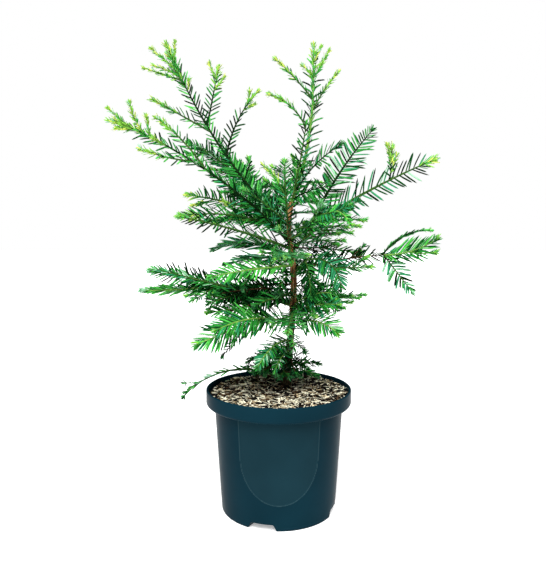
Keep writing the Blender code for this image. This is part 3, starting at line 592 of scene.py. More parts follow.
class Plant:
    """Needles and stems, gathered by colour and kind while the plant grows."""

    def __init__(self):
        self.needles = {tone: [] for tone in TONES}
        self.stems = {kind: [] for kind in STEM_KINDS}
        self.masses = {kind: set() for kind in (*TONES, *self.stems)}

    def needle(self, tone, mass, base, along, face, bend, length, width):
        row = (*base, *along, *square_to(along, face), *bend, length, width)
        self.needles[tone].append(row)
        self.masses[tone].add(mass)

    def stem(self, kind, mass, points, radii):
        self.stems[kind].append((points, radii))
        self.masses[kind].add(mass)


def pick(shares, dice):
    """One of the tones, by its share."""
    return dice.choices(list(shares), list(shares.values()))[0]


def stem_points(path, length, ring=STEM_RING):
    """Evenly spaced points along a path."""
    count = max(4, round(length / ring))
    return [point_at(path, i / count) for i in range(count + 1)]


class Shoot:
    """A path that carries needles of one look, with the dice that scatter them.

    face_at(direction) is the upper face of the spray where the path runs in that direction.
    """

    def __init__(self, plant, path, length, face_at, look, mass, dice):
        self.plant, self.path, self.length, self.face_at = plant, path, length, face_at
        self.look, self.mass, self.dice = look, mass, dice

    def frame_at(self, share):
        """At a share of the length: the place, the direction, the upper face and the sideways direction."""
        ahead = direction_at(self.path, share)
        face = self.face_at(ahead)
        return point_at(self.path, share), ahead, face, face.cross(ahead)

    def tip_tone(self, to_tip):
        """A crowded needle's tone, by its distance from the tip."""
        reach = min(self.look.tip, TIP_RUN) * self.dice.uniform(0.7, 1.3)
        end, middle, rest = CROWNS[self.look.crown]
        if to_tip < reach * 0.35:
            return pick(end, self.dice)
        return pick(middle if to_tip < reach * 0.8 else rest, self.dice)

    def branch(self, points, reach, face, look, bare=0.0, scale=1.0):
        """A dressed side shoot, whose needles lie in the flat of the given face."""

        def face_at(ahead):
            return square_to(ahead, face)

        Shoot(self.plant, points, reach, face_at, look, self.mass, self.dice).dress(bare, scale)

    def dress(self, bare, scale=1.0):
        """Needles in two ranks, then the crowded tip and a tuft at the end."""
        look, dice, length = self.look, self.dice, self.length
        size = look.length * scale * min(1.0, 0.45 + length / (2 * FULL_SHOOT))
        spacing = look.spacing * (0.75 + 0.25 * scale)
        count = max(2, int(length * (1 - bare) / spacing))
        for index in range(count):
            for side, offset in ((-1, 0.0), (1, 0.5)):
                reach = bare * length + (index + 0.2 + offset + dice.uniform(-0.18, 0.18)) * spacing
                reach = min(reach, length * 0.995)
                to_tip = length - reach
                base, ahead, face, across = self.frame_at(reach / length)
                across = across * side
                young = min(1.0, to_tip / TIP_RUN)
                least = LEAST_NEEDLE + (1 - LEAST_NEEDLE) * young**0.8
                ramp = min(1.0, 0.6 + (reach - bare * length) / BASE_RUN, least)
                angle = math.radians(look.close + (look.open - look.close) * young + dice.gauss(0, 5))
                turn = math.radians(8 + dice.gauss(0, look.scatter))
                along = turned(ahead, turned(across, face, turn), angle)
                top = turned(face, -across, turn)
                top = top + across * dice.gauss(0, 0.22) + ahead * dice.gauss(0, 0.1)
                reach_out = size * ramp * dice.uniform(0.84, 1.12)
                bend = ahead * (look.curl * dice.uniform(0.5, 1.5)) - UP * (look.sag * dice.uniform(0.3, 1.7))
                width = look.width * (0.55 + 0.45 * ramp) * (0.7 + 0.3 * scale) * dice.uniform(0.85, 1.12)
                near_tip = to_tip < min(look.tip, TIP_RUN) * dice.uniform(0.4, 1.0)
                tone = self.tip_tone(to_tip) if near_tip else pick(look.tones, dice)
                self.plant.needle(tone, self.mass, base, along, top, bend * reach_out, reach_out, width)
        short = min(CROWD_NEEDLE, look.length * 0.62) * (0.6 + 0.4 * scale)
        self.crowd_tip(short, min(look.tip * (0.4 + 0.6 * scale), length * 0.96))
        self.add_tuft(short)

    def crowd_tip(self, short, zone):
        """Short needles all round the stem in its last stretch, pressed forward."""
        dice = self.dice
        for index in range(int(zone / CROWD_SPACING)):
            to_tip = zone * (index + dice.random()) * CROWD_SPACING / zone
            base, ahead, face, across = self.frame_at(1 - to_tip / self.length)
            turn = index * CROWD_TURN + dice.uniform(-0.5, 0.5)
            out = across * math.cos(turn) + face * math.sin(turn) * 0.8
            angle = math.radians(dice.uniform(24, 54))
            along = turned(ahead, out, angle).normalized()
            reach_out = short * dice.uniform(0.75, 1.25) * (0.72 + 0.28 * min(1.0, to_tip / 0.012))
            tone = self.tip_tone(to_tip)
            width = CROWD_WIDTH * dice.uniform(0.85, 1.2)
            self.plant.needle(tone, self.mass, base, along, turned(out, -ahead, angle),
                              ahead * (0.12 * reach_out), reach_out, width)

    def add_tuft(self, short):
        """A few short needles at the very end."""
        dice = self.dice
        _, ahead, face, across = self.frame_at(1.0)
        for index in range(TUFT):
            turn = 2 * math.pi * (index + dice.uniform(-0.3, 0.3)) / TUFT
            angle = math.radians(dice.uniform(8, 52))
            out = turned(across, face, turn)
            tone = self.tip_tone(0.0)
            base = self.path[-1] - ahead * dice.uniform(0.0, 0.002)
            self.plant.needle(tone, self.mass, base, turned(ahead, out, angle), turned(out, -ahead, angle),
                              ahead * 0.0005, short * dice.uniform(0.7, 1.1), CROWD_WIDTH)

    def grow_fingers(self, count):
        """Short side shoots around the tip of a tall shoot."""
        dice = self.dice
        for index in range(count):
            to_tip = 0.010 + self.look.tip * (index + dice.uniform(0.0, 0.6)) / count
            base, ahead, face, across = self.frame_at(1 - to_tip / self.length)
            out = turned(across, face, math.pi * index + dice.gauss(0, 0.7))
            start = turned(ahead, out, math.radians(FINGER_ANGLE + dice.gauss(0, 7)))
            reach = FINGER_LENGTH * dice.uniform(0.6, 1.2)
            points = [base]
            for step in range(FINGER_STEPS):
                heading = (start + UP * 0.05 * step).normalized()
                points.append(points[-1] + heading * (reach / FINGER_STEPS))
            radii = [FINGER_RADIUS - FINGER_TAPER * i for i in range(len(points))]
            self.plant.stem("fresh", self.mass, points, radii)
            self.branch(points, reach, face, LOOKS["finger"])

    def grow_twigs(self):
        """Side twigs in the flat of the spray, one on each side in turn."""
        look, dice = self.look, self.dice
        count = int(self.length * TWIG_SPAN / look.twigs)
        for index in range(count):
            share = TWIG_FIRST + TWIG_SPAN * (index + dice.uniform(0.2, 0.8)) / count
            side = 1 if (index + len(self.mass)) % 2 else -1
            base, ahead, face, across = self.frame_at(share)
            reach = min(TWIG_LENGTH, TWIG_SHARE * self.length * (1 - share) + TWIG_LEAST)
            reach *= dice.uniform(0.75, 1.25)
            angle = math.radians(TWIG_ANGLE + dice.gauss(0, 6))
            start = turned(ahead, across * side, angle) + face * dice.gauss(0.05, 0.12)
            points = [base]
            for step in range(TWIG_STEPS):
                heading = (start + ahead * (0.05 * step) - UP * (0.012 * step)).normalized()
                points.append(points[-1] + heading * (reach / TWIG_STEPS))
            thick = 0.0006 + reach * 0.008
            rings = stem_points(points, reach)
            radii = [thick + (TIP_RADIUS * 0.8 - thick) * i / (len(rings) - 1) for i in range(len(rings))]
            self.plant.stem(look.stem, self.mass, rings, radii)
            self.branch(points, reach, face, look, TWIG_BARE, TWIG_NEEDLES)


def back_side_shoots():
    """Rows like those of SHOOTS, on alternate sides of each bough behind the stem."""
    rows = []
    for name, _, _, heading, _, _, tilt, *_ in SHOOTS:
        if name in BACK_BOUGHS:
            for index, place in enumerate(BACK_SIDE_PLACES):
                side = heading[0] + (BACK_SIDE_TURN if index % 2 else -BACK_SIDE_TURN)
                rows.append((f"{name}_side_{index}", name, place, side, BACK_SIDE_REACH, BACK_SIDE_BEND,
                             tilt, BACK_SIDE_LOOK))
    return tuple(rows)


def grow_plant():
    """Every shoot of the table, with its stem, needles and side twigs."""
    plant = Plant()
    paths, masses = {"stem": stem_path()}, {}
    for name, parent, place, heading, reach, bend, tilt, kind, *rest in SHOOTS + back_side_shoots():
        bare = rest[0] if rest else 0
        mass = masses[name] = rest[1] if len(rest) > 1 else masses.get(parent, name)
        path = paths[name] = grow(point_at(paths[parent], place), heading, reach, bend)
        length = arc_length(reach, bend)
        look = LOOKS[kind]

        def face_at(ahead, tilt=tilt):
            return spray_face(ahead, tilt)

        thick = min(BOUGH_RADIUS, 0.0004 + length * RADIUS_PER_LENGTH)
        rings = stem_points(path, length)
        last = len(rings) - 1
        radii = [TIP_RADIUS + (thick - TIP_RADIUS) * (1 - i / last) ** BOUGH_TAPER for i in range(last + 1)]
        plant.stem(look.stem, mass, rings, radii)
        shoot = Shoot(plant, path, length, face_at, look, mass, random.Random(name))
        shoot.dress(bare)
        if look.twigs:
            shoot.grow_twigs()
        if kind in FINGERED:
            shoot.grow_fingers(FINGERED[kind])
    return plant, paths["stem"]


def new_mesh(name, points, faces, materials, face_materials=None, is_smooth=True):
    """An object made from points and faces, riding on the body."""
    mesh = bpy.data.meshes.new(name)
    mesh.from_pydata(points, [], faces)
    for material in materials:
        mesh.materials.append(material)
    if face_materials is not None:
        mesh.polygons.foreach_set("material_index", face_materials)
    mesh.polygons.foreach_set("use_smooth", [is_smooth] * len(mesh.polygons))
    mesh.update()
    obj = bpy.data.objects.new(name, mesh)
    bpy.context.scene.collection.objects.link(obj)
    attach(obj, BODY)
    return obj


def unit(rows):
    """Each row as a direction of length 1."""
    return rows / np.linalg.norm(rows, axis=1, keepdims=True)


def needle_mesh(name, needles, materials):
    """Needles as closed blades, with a groove along the top and a keel below."""
    data = np.array(needles)
    base, along, face, bend = data[:, 0:3], data[:, 3:6], data[:, 6:9], data[:, 9:12]
    length, width = data[:, 12:13], data[:, 13:14]
    rings = []
    for station, share in zip(NEEDLE_STATIONS, NEEDLE_WIDTHS):
        middle = base + along * (length * station) + bend * station**2
        ahead = unit(along * length + bend * (2 * station))
        side = unit(np.cross(face, ahead))
        top = np.cross(ahead, side)
        if share == 0.0:
            rings.append(middle[:, None, :])
            continue
        half = width * share / 2
        rings.append(np.stack((
            middle - side * half,
            middle - top * (width * share * GROOVE),
            middle + side * half,
            middle - top * (width * share * (GROOVE + KEEL)),
        ), axis=1))
    points = np.concatenate(rings, axis=1)
    per_needle = points.shape[1]
    last = per_needle - 5  # the first corner of the last ring of four, before the tip
    quads = [(0, 1, 2, 3)] + [(a, a + 4, b + 4, b) for a, b in around(len(NEEDLE_STATIONS) - 2, 4)]
    triangles = [(a, per_needle - 1, b) for a, b in around(1, 4, last)]
    lower = [0] + [0, 0, 1, 1] * (len(NEEDLE_STATIONS) - 1)
    starts = np.arange(len(data))[:, None, None] * per_needle
    four = (np.array(quads)[None] + starts).tolist()
    three = (np.array(triangles)[None] + starts).tolist()
    faces = [face for pair in zip(four, three) for group in pair for face in group]
    return new_mesh(name, points.reshape(-1, 3).tolist(), faces, materials, lower * len(data))


def fibre(place, seed):
    """Bark relief, about -1 to 1, drawn out along the stem."""
    spot = Vector((place.x * 520 + seed, place.y * 520, place.z * 42))
    ridge = 1.0 - 2.0 * abs(noise.noise(spot))
    fine = noise.noise(Vector((place.x * 1500, place.y * 1500 + seed, place.z * 160)))
    flake = noise.noise(Vector((place.x * 180, place.y * 180, place.z * 120 + seed)))
    return 0.6 * (2 * ridge - 1) + 0.35 * fine + 0.35 * flake


def tube(points, radii, sides, relief):
    """Points and faces of a closed tapering tube; relief(place) moves its surface out by metres."""
    made = []
    ahead = (points[1] - points[0]).normalized()
    side = ahead.orthogonal().normalized()
    for index, (point, radius) in enumerate(zip(points, radii)):
        before, after = points[max(0, index - 1)], points[min(len(points) - 1, index + 1)]
        ahead = (after - before).normalized()
        side = square_to(ahead, side)
        other = ahead.cross(side)
        for angle in round_angles(sides):
            out = turned(side, other, angle)
            place = point + out * radius
            made.append(place + out * relief(place))
    faces = [(a, b, b + sides, a + sides) for a, b in around(len(points) - 1, sides)]
    foot, top = len(made), len(made) + 1
    last = (len(points) - 1) * sides
    for a, b in around(1, sides):
        faces += [(foot, b, a), (top, last + a, last + b)]
    return made + [points[0], points[-1]], faces


def stem_mesh(name, stems, material):
    """All stems of one kind, with a light uneven relief."""
    points, faces = [], []
    for seed, (places, radii) in enumerate(stems):

        def ridges(place, seed=seed, height=max(radii) * STEM_RELIEF):
            spot = (place.x * STEM_RIDGES + seed, place.y * STEM_RIDGES, place.z * STEM_RIDGES)
            return height * noise.noise(Vector(spot))

        made, joined = tube(places, radii, STEM_SIDES, ridges)
        offset = len(points)
        points += [tuple(place) for place in made]
        faces += [tuple(corner + offset for corner in face) for face in joined]
    return new_mesh(name, points, faces, [material])


def trunk_mesh(path, material):
    """The stem with its bark: ridged, fibrous, flared at the foot."""
    length = sum((b - a).length for a, b in zip(path, path[1:]))
    points = stem_points(path, length, ring=TRUNK_RING)
    radii = []
    for index in range(len(points)):
        share = index / (len(points) - 1)
        flare = max(0.0, 1.0 - share / FLARE_SPAN)
        taper = STEM_BASE_RADIUS + (STEM_TOP_RADIUS - STEM_BASE_RADIUS) * share
        radii.append(taper + (STEM_FLARE_RADIUS - STEM_BASE_RADIUS) * flare**2)
    made, faces = tube(points, radii, TRUNK_SIDES, lambda place: TRUNK_RELIEF * fibre(place, 3.0))
    return new_mesh("trunk_bark", [tuple(place) for place in made], faces, [material])


def channel_height(x, y):
    """How far the pot's underside is raised at a place, by its four drainage channels."""
    height = 0.0
    for heading in CHANNEL_HEADINGS:
        angle = math.radians(heading)
        outward = x * math.cos(angle) + y * math.sin(angle)
        sideways = abs(-x * math.sin(angle) + y * math.cos(angle))
        if outward < CHANNEL_START - CHANNEL_END_RUN:
            continue
        half = CHANNEL_WIDTH / 2 * outward / BASE_RADIUS
        top_half = CHANNEL_TOP_WIDTH / 2 * outward / BASE_RADIUS
        rise = clamp((half - sideways) / (half - top_half))
        start = clamp((outward - CHANNEL_START + CHANNEL_END_RUN) / CHANNEL_END_RUN)
        height = max(height, CHANNEL_HEIGHT * rise * start)
    return height


def panel_inside(angle, height):
    """How far a place on the wall is inside the edge of the nearest U-shaped panel, in metres."""
    away = min(abs((math.degrees(angle) - heading + 180) % 360 - 180) for heading in PANEL_HEADINGS)
    sideways = math.radians(away) * BODY_TOP_RADIUS / PANEL_HALF_WIDTH
    drop = max(0.0, (PANEL_STRAIGHT_TO - height) / (PANEL_STRAIGHT_TO - PANEL_BOTTOM))
    return (1.0 - math.hypot(sideways, drop)) * PANEL_HALF_WIDTH


def panel_relief(inside):
    """How far the wall is pressed in: a shallow panel with a fine raised edge."""
    ridge = PANEL_RIDGE * math.exp(-(inside / PANEL_EDGE) ** 2)
    return PANEL_DEPTH * smooth(-PANEL_EDGE, PANEL_EDGE, inside) - ridge


def wall_radius(height):
    """The pot's outer radius below its lip."""
    return BASE_RADIUS + (BODY_TOP_RADIUS - BASE_RADIUS) * (height / LIP_BOTTOM)


def arc(centre, radius, first, last, count):
    """Points of radius and height on an arc, between two angles in degrees."""
    angles = [math.radians(first + (last - first) * i / count) for i in range(count + 1)]
    return [(centre[0] + radius * math.cos(a), centre[1] + radius * math.sin(a)) for a in angles]


def pot_profile():
    """Inner floor, up the inside, over the rounded rim and lip, down the wall, to the underside's middle."""
    below, above = LIP_STEP
    inside = [
        (0.0, FLOOR_THICKNESS),
        (FLAT_MIDDLE_RADIUS, FLOOR_THICKNESS),
        (FLAT_MIDDLE_RADIUS + STEP_RUN, OUTER_FLOOR_TOP),
        (wall_radius(OUTER_FLOOR_TOP) - WALL, OUTER_FLOOR_TOP),
        (BODY_TOP_RADIUS - WALL, LIP_BOTTOM + below),
        (RIM_RADIUS - LIP_INSIDE, LIP_BOTTOM + above),
    ]
    rim = arc((RIM_RADIUS - RIM_ROUND_INSET, POT_HEIGHT - RIM_ROUND), RIM_ROUND, 180, 0, 8)
    lip = arc((RIM_RADIUS - LIP_ROUND, LIP_BOTTOM + LIP_ROUND), LIP_ROUND, 0, -90, 8)
    fillet = arc((BODY_TOP_RADIUS + LIP_FILLET, LIP_BOTTOM - LIP_FILLET), LIP_FILLET, 90, 180, 4)
    heights = [WALL_TOP + (FOOT_BAND - WALL_TOP) * i / WALL_RINGS for i in range(WALL_RINGS + 1)]
    heights += [FOOT_BAND * (1 - i / FOOT_RINGS) for i in range(1, FOOT_RINGS)]
    wall = [(wall_radius(height), height) for height in heights]
    foot = [(BASE_RADIUS, FOOT_CHAMFER), (BASE_RADIUS - CHAMFER_MIDDLE, CHAMFER_MIDDLE),
            (BASE_RADIUS - FOOT_CHAMFER, 0.0)]
    under = [(BASE_RADIUS * (1 - i / UNDER_RINGS) - FOOT_CHAMFER, 0.0) for i in range(1, UNDER_RINGS - 1)]
    return inside + rim + lip + fillet + wall + foot + under + [(0.0, 0.0)]


def pot_mesh(materials):
    """The pot, with its panels, channels and drain holes; the materials are wall, panel and panel edge, the
    last two with painted sheen and a painted highlight.
    """
    profile = pot_profile()
    points = []
    first_under = max(i for i, (r, z) in enumerate(profile) if z > FOOT_BAND * 0.99)
    for index, (radius, height) in enumerate(profile):
        if radius == 0.0:
            points.append((0.0, 0.0, height))
            continue
        for angle in round_angles(POT_SIDES):
            out, z = radius, height
            if index >= first_under:
                raised = channel_height(*polar(radius, angle))
                z = raised + (FOOT_BAND - raised) * (height / FOOT_BAND)
            elif index >= INSIDE_POINTS and height < PANEL_TOP:
                fade = smooth(0.0, PANEL_FADE, height - FOOT_BAND)
                out -= panel_relief(panel_inside(angle, height)) * fade
            points.append((*polar(out, angle), z))
    rings = len(profile) - 2
    faces = [(a, b, b + POT_SIDES, a + POT_SIDES) for a, b in around(rings - 1, POT_SIDES, 1)]
    last = (rings - 1) * POT_SIDES
    for a, b in around(1, POT_SIDES, 1):
        faces += [(0, b, a), (len(points) - 1, last + a, last + b)]
    pot = new_mesh("pot_shell", points, [face[::-1] for face in faces], materials)
    # Faces in a panel take the lighter colour of painted sheen, those on its edge the paler one of a painted
    # highlight.
    for face in pot.data.polygons:
        x, y, z = face.center
        if FOOT_BAND < z < LIP_BOTTOM and math.hypot(x, y) > wall_radius(z) - WALL / 2:
            inside = panel_inside(math.atan2(y, x), z)
            if inside > -PANEL_EDGE / 2:
                face.material_index = 1 if inside > PANEL_EDGE / 2 else 2
    drill_drains(pot)
    pot.data.set_sharp_from_angle(angle=math.radians(SHARP_FROM))
    return pot


def drill_drains(pot):
    """Four round holes through the floor, at the inner ends of the channels."""
    for heading in CHANNEL_HEADINGS:
        place = (*polar(DRAIN_REACH, math.radians(heading)), CHANNEL_HEIGHT)
        bpy.ops.mesh.primitive_cylinder_add(
            vertices=DRAIN_SIDES, radius=DRAIN_RADIUS, depth=DRILL_LENGTH, location=place
        )
        drill = bpy.context.object
        cut = pot.modifiers.new("drain", "BOOLEAN")
        cut.operation, cut.object, cut.solver = "DIFFERENCE", drill, "MANIFOLD"
        bpy.context.view_layer.update()
        cut_mesh = bpy.data.meshes.new_from_object(pot.evaluated_get(bpy.context.evaluated_depsgraph_get()))
        pot.modifiers.clear()
        pot.data = cut_mesh
        bpy.data.objects.remove(drill, do_unlink=True)


def soil_height(x, y):
    """The uneven surface under the chips."""
    bumps = 0.0
    for cells, layer, height in SOIL_BUMPS:
        bumps += noise.noise(Vector((x * cells, y * cells, layer))) * height
    edge = smooth(SOIL_RADIUS - SOIL_EDGE_RUN, SOIL_RADIUS, math.hypot(x, y)) * SOIL_EDGE_DROP
    return SOIL_TOP - SOIL_BED_DROP + bumps - edge


def soil_mesh(material):
    """The bed of dark compost below the chips, closed down to the pot's floor. Its near-black colour is
    partly painted shade for the gaps between the chips.
    """
    floor_height = OUTER_FLOOR_TOP + SOIL_GAP
    points = []
    for ring in range(1, SOIL_RINGS + 1):
        for angle in round_angles(SOIL_SIDES):
            x, y = polar(SOIL_RADIUS * ring / SOIL_RINGS, angle)
            points.append((x, y, soil_height(x, y)))
    sides = (
        (SOIL_RADIUS - SOIL_GAP, SOIL_UNDER_LIP),
        (BODY_TOP_RADIUS - WALL - SOIL_GAP, SOIL_IN_BODY),
        (wall_radius(OUTER_FLOOR_TOP) - WALL - SOIL_GAP, floor_height),
    )
    for radius, height in sides:
        points += [(*polar(radius, angle), height) for angle in round_angles(SOIL_SIDES)]
    rings = SOIL_RINGS + len(sides)
    faces = [(a, a + SOIL_SIDES, b + SOIL_SIDES, b) for a, b in around(rings - 1, SOIL_SIDES)]
    middle, floor = len(points), len(points) + 1
    points += [(0.0, 0.0, soil_height(0.0, 0.0)), (0.0, 0.0, floor_height)]
    last = (rings - 1) * SOIL_SIDES
    for a, b in around(1, SOIL_SIDES):
        faces += [(middle, a, b), (floor, last + b, last + a)]
    return new_mesh("soil_bed", points, faces, [material])


def scatter_chips():
    """Rows of bark chips by tone: place, heading, pitch, roll, length, width, thickness, bow and skew."""
    dice = random.Random("chips")
    chips = {tone: [] for tone in CHIP_TONES}
    for index in range(CHIP_COUNT):
        radius = (SOIL_RADIUS - CHIP_INSET) * math.sqrt(dice.random())
        x, y = polar(radius, 2 * math.pi * dice.random())
        front = 0.5 - 0.5 * y / SOIL_RADIUS + 0.25 * noise.noise(Vector((x * 40, y * 40, 9.0)))
        shares = [back + (near - back) * clamp(front) for _, back, near in CHIP_TONES.values()]
        tone = dice.choices(list(CHIP_TONES), shares)[0]
        room = CHIP_AT_WALL + 2.0 * (SOIL_RADIUS - radius)
        length = min(CHIP_MOST, CHIP_LEAST + dice.expovariate(1 / CHIP_MEAN_MORE), room)
        width = dice.uniform(*CHIP_WIDTHS)
        rest = soil_height(x, y) + CHIP_REST + CHIP_PILE * index / CHIP_COUNT
        chips[tone].append((
            x, y, rest, dice.uniform(0, math.pi), dice.gauss(0, 0.16), dice.gauss(0, 0.5),
            length, width, width * dice.uniform(0.25, 0.5), dice.gauss(0, 0.12), dice.uniform(-0.3, 0.3),
        ))
    return chips


def chip_mesh(name, chips, material):
    """Bark slivers: six-sided, bowed, split to a blunt point at each end."""
    rows = np.array(chips)
    heading, pitch, roll = rows[:, 3], rows[:, 4], rows[:, 5]
    run, rise = np.cos(pitch), np.sin(pitch)
    along = np.stack((np.cos(heading) * run, np.sin(heading) * run, rise), axis=1)
    level = np.stack((-np.sin(heading), np.cos(heading), np.zeros(len(rows))), axis=1)
    side = level * np.cos(roll)[:, None] + np.cross(along, level) * np.sin(roll)[:, None]
    top = np.cross(along, side)
    length, width, thick, bow, skew = (rows[:, i:i + 1] for i in range(6, 11))
    rings = []
    for station, share in CHIP_STATIONS:
        middle = rows[:, 0:3] + along * length * station
        middle = middle + side * (length * bow * (station**2 - 0.1) * 2) + side * (width * skew * station)
        half, deep = width * share / 2, thick * (0.5 + 0.5 * share) / 2
        corners = [middle + side * half * out + top * deep * up for out, up in CHIP_CORNERS]
        rings.append(np.stack(corners, axis=1))
    points = np.concatenate(rings, axis=1)
    sides, count = len(CHIP_CORNERS), points.shape[1]
    pattern = [tuple(range(sides)), tuple(range(count - 1, count - 1 - sides, -1))]
    pattern += [(a, a + sides, b + sides, b) for a, b in around(len(CHIP_STATIONS) - 1, sides)]
    starts = range(0, len(rows) * count, count)
    faces = [tuple(start + corner for corner in face) for start in starts for face in pattern]
    return new_mesh(name, points.reshape(-1, 3).tolist(), faces, [material], is_smooth=False)


def set_inputs(node, **values):
    """Constants on a node's inputs; an underscore in a name stands for a space."""
    for name, value in values.items():
        node.inputs[name.replace("_", " ")].default_value = value


def add_node(tree, kind, **values):
    """A new shader node with constants on some inputs."""
    node = tree.nodes.new("ShaderNode" + kind)
    set_inputs(node, **values)
    return node


def link(tree, node, output, target, socket):
    """A link from a node's output to an input of another node."""
    tree.links.new(node.outputs[output], target.inputs[socket])


def new_material(name):
    """A material with a Principled shader, and the parts of its tree that are used."""
    material = bpy.data.materials.new(name)
    material.use_nodes = True
    tree = material.node_tree
    return material, tree, tree.nodes["Principled BSDF"]


def add_noise(tree, scale, detail, stretch=(1.0, 1.0, 1.0)):
    """A noise texture in the object's own coordinates, in cells per metre."""
    place = add_node(tree, "TexCoord")
    mapping = add_node(tree, "Mapping", Scale=stretch)
    texture = add_node(tree, "TexNoise", Scale=scale, Detail=detail)
    link(tree, place, "Object", mapping, "Vector")
    link(tree, mapping, "Vector", texture, "Vector")
    return texture


def add_ramp(tree, texture, stops):
    """Colours from a texture's value."""
    ramp = add_node(tree, "ValToRGB")
    while len(ramp.color_ramp.elements) < len(stops):
        ramp.color_ramp.elements.new(0.5)
    for element, (place, colour) in zip(ramp.color_ramp.elements, stops):
        element.position = place
        element.color = (*colour, 1.0)
    link(tree, texture, "Fac", ramp, "Fac")
    return ramp


def add_bump(tree, shader, texture, strength, distance):
    """A texture's relief in the shading; the distance is its depth."""
    bump = add_node(tree, "Bump", Strength=strength, Distance=distance)
    link(tree, texture, "Fac", bump, "Height")
    link(tree, bump, "Normal", shader, "Normal")


def mottled(name, scale, detail, stops, gloss):
    """A material coloured by a noise texture, and the parts of its tree."""
    material, tree, shader = new_material(name)
    link(tree, add_ramp(tree, add_noise(tree, scale, detail), stops), "Color", shader, "Base Color")
    set_inputs(shader, Specular_IOR_Level=gloss)
    return material, tree, shader


def shades(colour, *steps):
    """Lighter and darker stops of one colour: the noise value and the factor of each."""
    return [(place, tuple(min(1.0, channel * factor) for channel in colour)) for place, factor in steps]


def needle_material(name, colour, roughness, gloss):
    """Waxy leaf: one green with slow mottling, and a fine grain in the surface."""
    stops = shades(colour, (0.30, 0.72), (0.52, 1.0), (0.74, 1.28))
    material, tree, shader = mottled(name, 210, 2.0, stops, gloss)
    set_inputs(shader, Roughness=roughness)
    add_bump(tree, shader, add_noise(tree, 2600, 2.0), 0.18, 0.0001)
    return material


def stem_material(name, roughness, stops):
    """Bark or skin of a bough or twig."""
    material, tree, shader = mottled(name, 330, 4.0, stops, DARK_GLOSS)
    set_inputs(shader, Roughness=roughness)
    add_bump(tree, shader, add_noise(tree, 1900, 3.0), 0.35, 0.0002)
    return material


def bark_material():
    """Orange-brown fibrous bark with dark furrows; towards the soil it turns darker, painted shade for the
    foot of the stem in the boughs' shadow.
    """
    material, tree, shader = new_material("redwood_bark")
    fibres = add_noise(tree, 620, 5.0, stretch=(1.0, 1.0, 0.10))
    upper = add_ramp(tree, fibres, UPPER_BARK)
    # the lower ramp is painted shade for the stem's foot
    lower = add_ramp(tree, fibres, SHADED_LOWER_BARK)
    place = add_node(tree, "TexCoord")
    parts = add_node(tree, "SeparateXYZ")
    start, end = BARK_SHADE_BELOW
    height = add_node(tree, "MapRange", From_Min=start, From_Max=end)
    mix = add_node(tree, "Mix")
    mix.data_type = "RGBA"
    link(tree, place, "Object", parts, "Vector")
    link(tree, parts, "Z", height, "Value")
    link(tree, height, "Result", mix, "Factor")
    link(tree, lower, "Color", mix, 6)
    link(tree, upper, "Color", mix, 7)
    link(tree, mix, 2, shader, "Base Color")
    set_inputs(shader, Roughness=0.82, Specular_IOR_Level=0.15)
    add_bump(tree, shader, fibres, 0.6, 0.0004)
    return material


def pot_material(name, colour):
    """Injection-moulded plastic with hardly any gloss."""
    material, tree, shader = mottled(name, 14, 2.0, shades(colour, (0.35, 0.90), (0.65, 1.10)), 0.012)
    rough = add_node(tree, "MapRange", To_Min=0.28, To_Max=0.33)
    link(tree, add_noise(tree, 90, 3.0), "Fac", rough, "Value")
    link(tree, rough, "Result", shader, "Roughness")
    return material


def wood_material(name, colour):
    """A bark chip: grain and darker flecks."""
    stops = shades(colour, (0.28, 0.35), (0.46, 0.85), (0.60, 1.0), (0.78, 1.35))
    material, tree, shader = mottled(name, 420, 5.0, stops, 0.12)
    set_inputs(shader, Roughness=0.85)
    add_bump(tree, shader, add_noise(tree, 1600, 4.0), 0.5, 0.0003)
    return material


def show(piece, nodes):
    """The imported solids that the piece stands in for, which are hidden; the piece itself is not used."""
    if nodes:
        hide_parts(*sorted(nodes))


def make_needles(plant):
    """One piece for each tone, split where it would grow too large."""
    for tone, (upper, lower, roughness) in TONES.items():
        needles = plant.needles[tone]
        if not needles:
            continue
        gloss = DARK_GLOSS if tone in DARK_AND_SHADE_TONES else GLOSS
        materials = [
            needle_material("needle_" + tone, upper, roughness, gloss),
            needle_material("needle_under_" + tone, lower, roughness + 0.12, DARK_GLOSS),
        ]
        parts = -(-len(needles) // NEEDLES_PER_PIECE)
        for part in range(parts):
            name = "needles_" + tone + (f"_{part + 1}" if parts > 1 else "")
            piece = needle_mesh(name, needles[part::parts], materials)
            show(piece, {"foliage_" + mass for mass in plant.masses[tone]})


def make_stems(plant, nodes):
    """Boughs and twigs, one piece for each kind."""
    boughs = {node for node in nodes if node.startswith("bough_")}
    for kind, stems in plant.stems.items():
        piece = stem_mesh("twigs_" + kind, stems, stem_material(*STEM_KINDS[kind]))
        masses = plant.masses[kind]
        replaced = {"foliage_" + mass for mass in masses}
        replaced |= {bough for bough in boughs if bough[len("bough_"):] in masses}
        show(piece, replaced)


def make_pot_and_soil():
    """The pot, the bed of compost and the chips of each tone on it."""
    plastics = [pot_material(name, colour) for name, colour in POT_COLOURS.items()]
    show(pot_mesh(plastics), {"pot"})
    show(soil_mesh(wood_material("compost", COMPOST_AND_GAP_SHADE_COLOUR)), {"soil"})
    for tone, chips in scatter_chips().items():
        wood = wood_material("chip_" + tone, CHIP_TONES[tone][0])
        show(chip_mesh("chips_" + tone, chips, wood), set())


def add_light(name, kind, place, target, watts):
    """A light that points at a target."""
    data = bpy.data.lights.new(name, kind)
    data.energy = watts
    light = bpy.data.objects.new(name, data)
    bpy.context.scene.collection.objects.link(light)
    light.location = place
    light.rotation_euler = (Vector(target) - light.location).to_track_quat("-Z", "Y").to_euler()
    return data


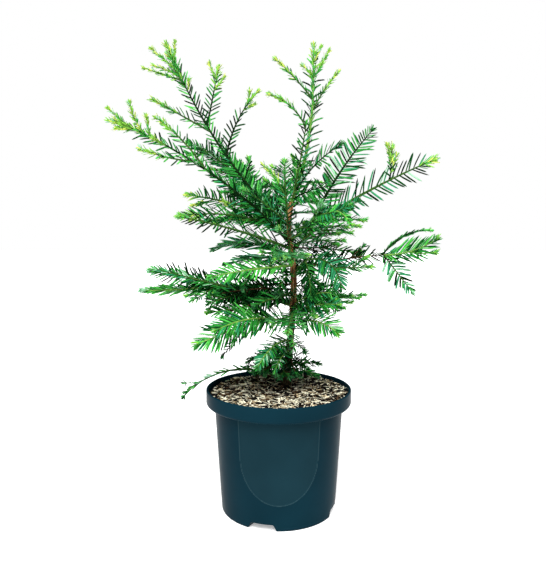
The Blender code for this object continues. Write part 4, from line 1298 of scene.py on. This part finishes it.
def make_studio():
    """A pale floor, white surroundings and three soft lights."""
    bpy.ops.mesh.primitive_plane_add(size=FLOOR_SIZE, location=(0.0, 0.0, -FLOOR_DROP))
    floor = bpy.context.object
    floor.name = "floor"
    material, _, shader = new_material("floor")
    set_inputs(shader, Base_Color=FLOOR_COLOUR, Roughness=FLOOR_ROUGHNESS, Emission_Color=WHITE,
               Emission_Strength=FLOOR_GLOW)
    floor.data.materials.append(material)

    world = bpy.data.worlds.new("studio")
    bpy.context.scene.world = world
    world.use_nodes = True
    tree = world.node_tree
    background = tree.nodes["Background"]
    seen = add_node(tree, "LightPath")
    strength = add_node(tree, "MapRange", To_Min=SKY_LIGHT, To_Max=SKY_SEEN)
    link(tree, seen, "Is Camera Ray", strength, "Value")
    link(tree, strength, "Result", background, "Strength")
    set_inputs(background, Color=WHITE)

    key = add_light("key", "SUN", KEY_PLACE, (0.0, 0.0, 0.0), KEY_STRENGTH)
    key.angle = math.radians(KEY_SPREAD)
    for name, (place, size, watts) in SOFTBOXES.items():
        softbox = add_light(name, "AREA", place, SOFTBOX_TARGET, watts)
        softbox.shape = "RECTANGLE"
        softbox.size, softbox.size_y = size


def make_camera():
    camera = bpy.data.objects.new("camera", bpy.data.cameras.new("camera"))
    bpy.context.scene.collection.objects.link(camera)
    camera.data.lens = CAMERA_LENS
    camera.data.sensor_width = SENSOR_WIDTH
    camera.data.clip_start = NEAREST_SEEN
    camera.location = CAMERA_PLACE
    camera.rotation_euler = (math.radians(90 - CAMERA_PITCH), 0.0, 0.0)
    bpy.context.scene.camera = camera


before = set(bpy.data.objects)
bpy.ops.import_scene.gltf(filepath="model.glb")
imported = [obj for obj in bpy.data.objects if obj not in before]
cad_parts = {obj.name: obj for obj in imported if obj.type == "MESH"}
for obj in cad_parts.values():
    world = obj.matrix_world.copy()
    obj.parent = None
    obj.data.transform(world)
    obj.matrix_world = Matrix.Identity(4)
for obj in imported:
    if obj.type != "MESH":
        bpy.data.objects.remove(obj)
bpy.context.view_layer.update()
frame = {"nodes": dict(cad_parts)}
bpy.context.scene.view_settings.view_transform = "Standard"
make_camera()
make_studio()
grown, trunk_path = grow_plant()
make_needles(grown)
make_stems(grown, frame["nodes"])
show(trunk_mesh(trunk_path, bark_material()), {"trunk"})
make_pot_and_soil()
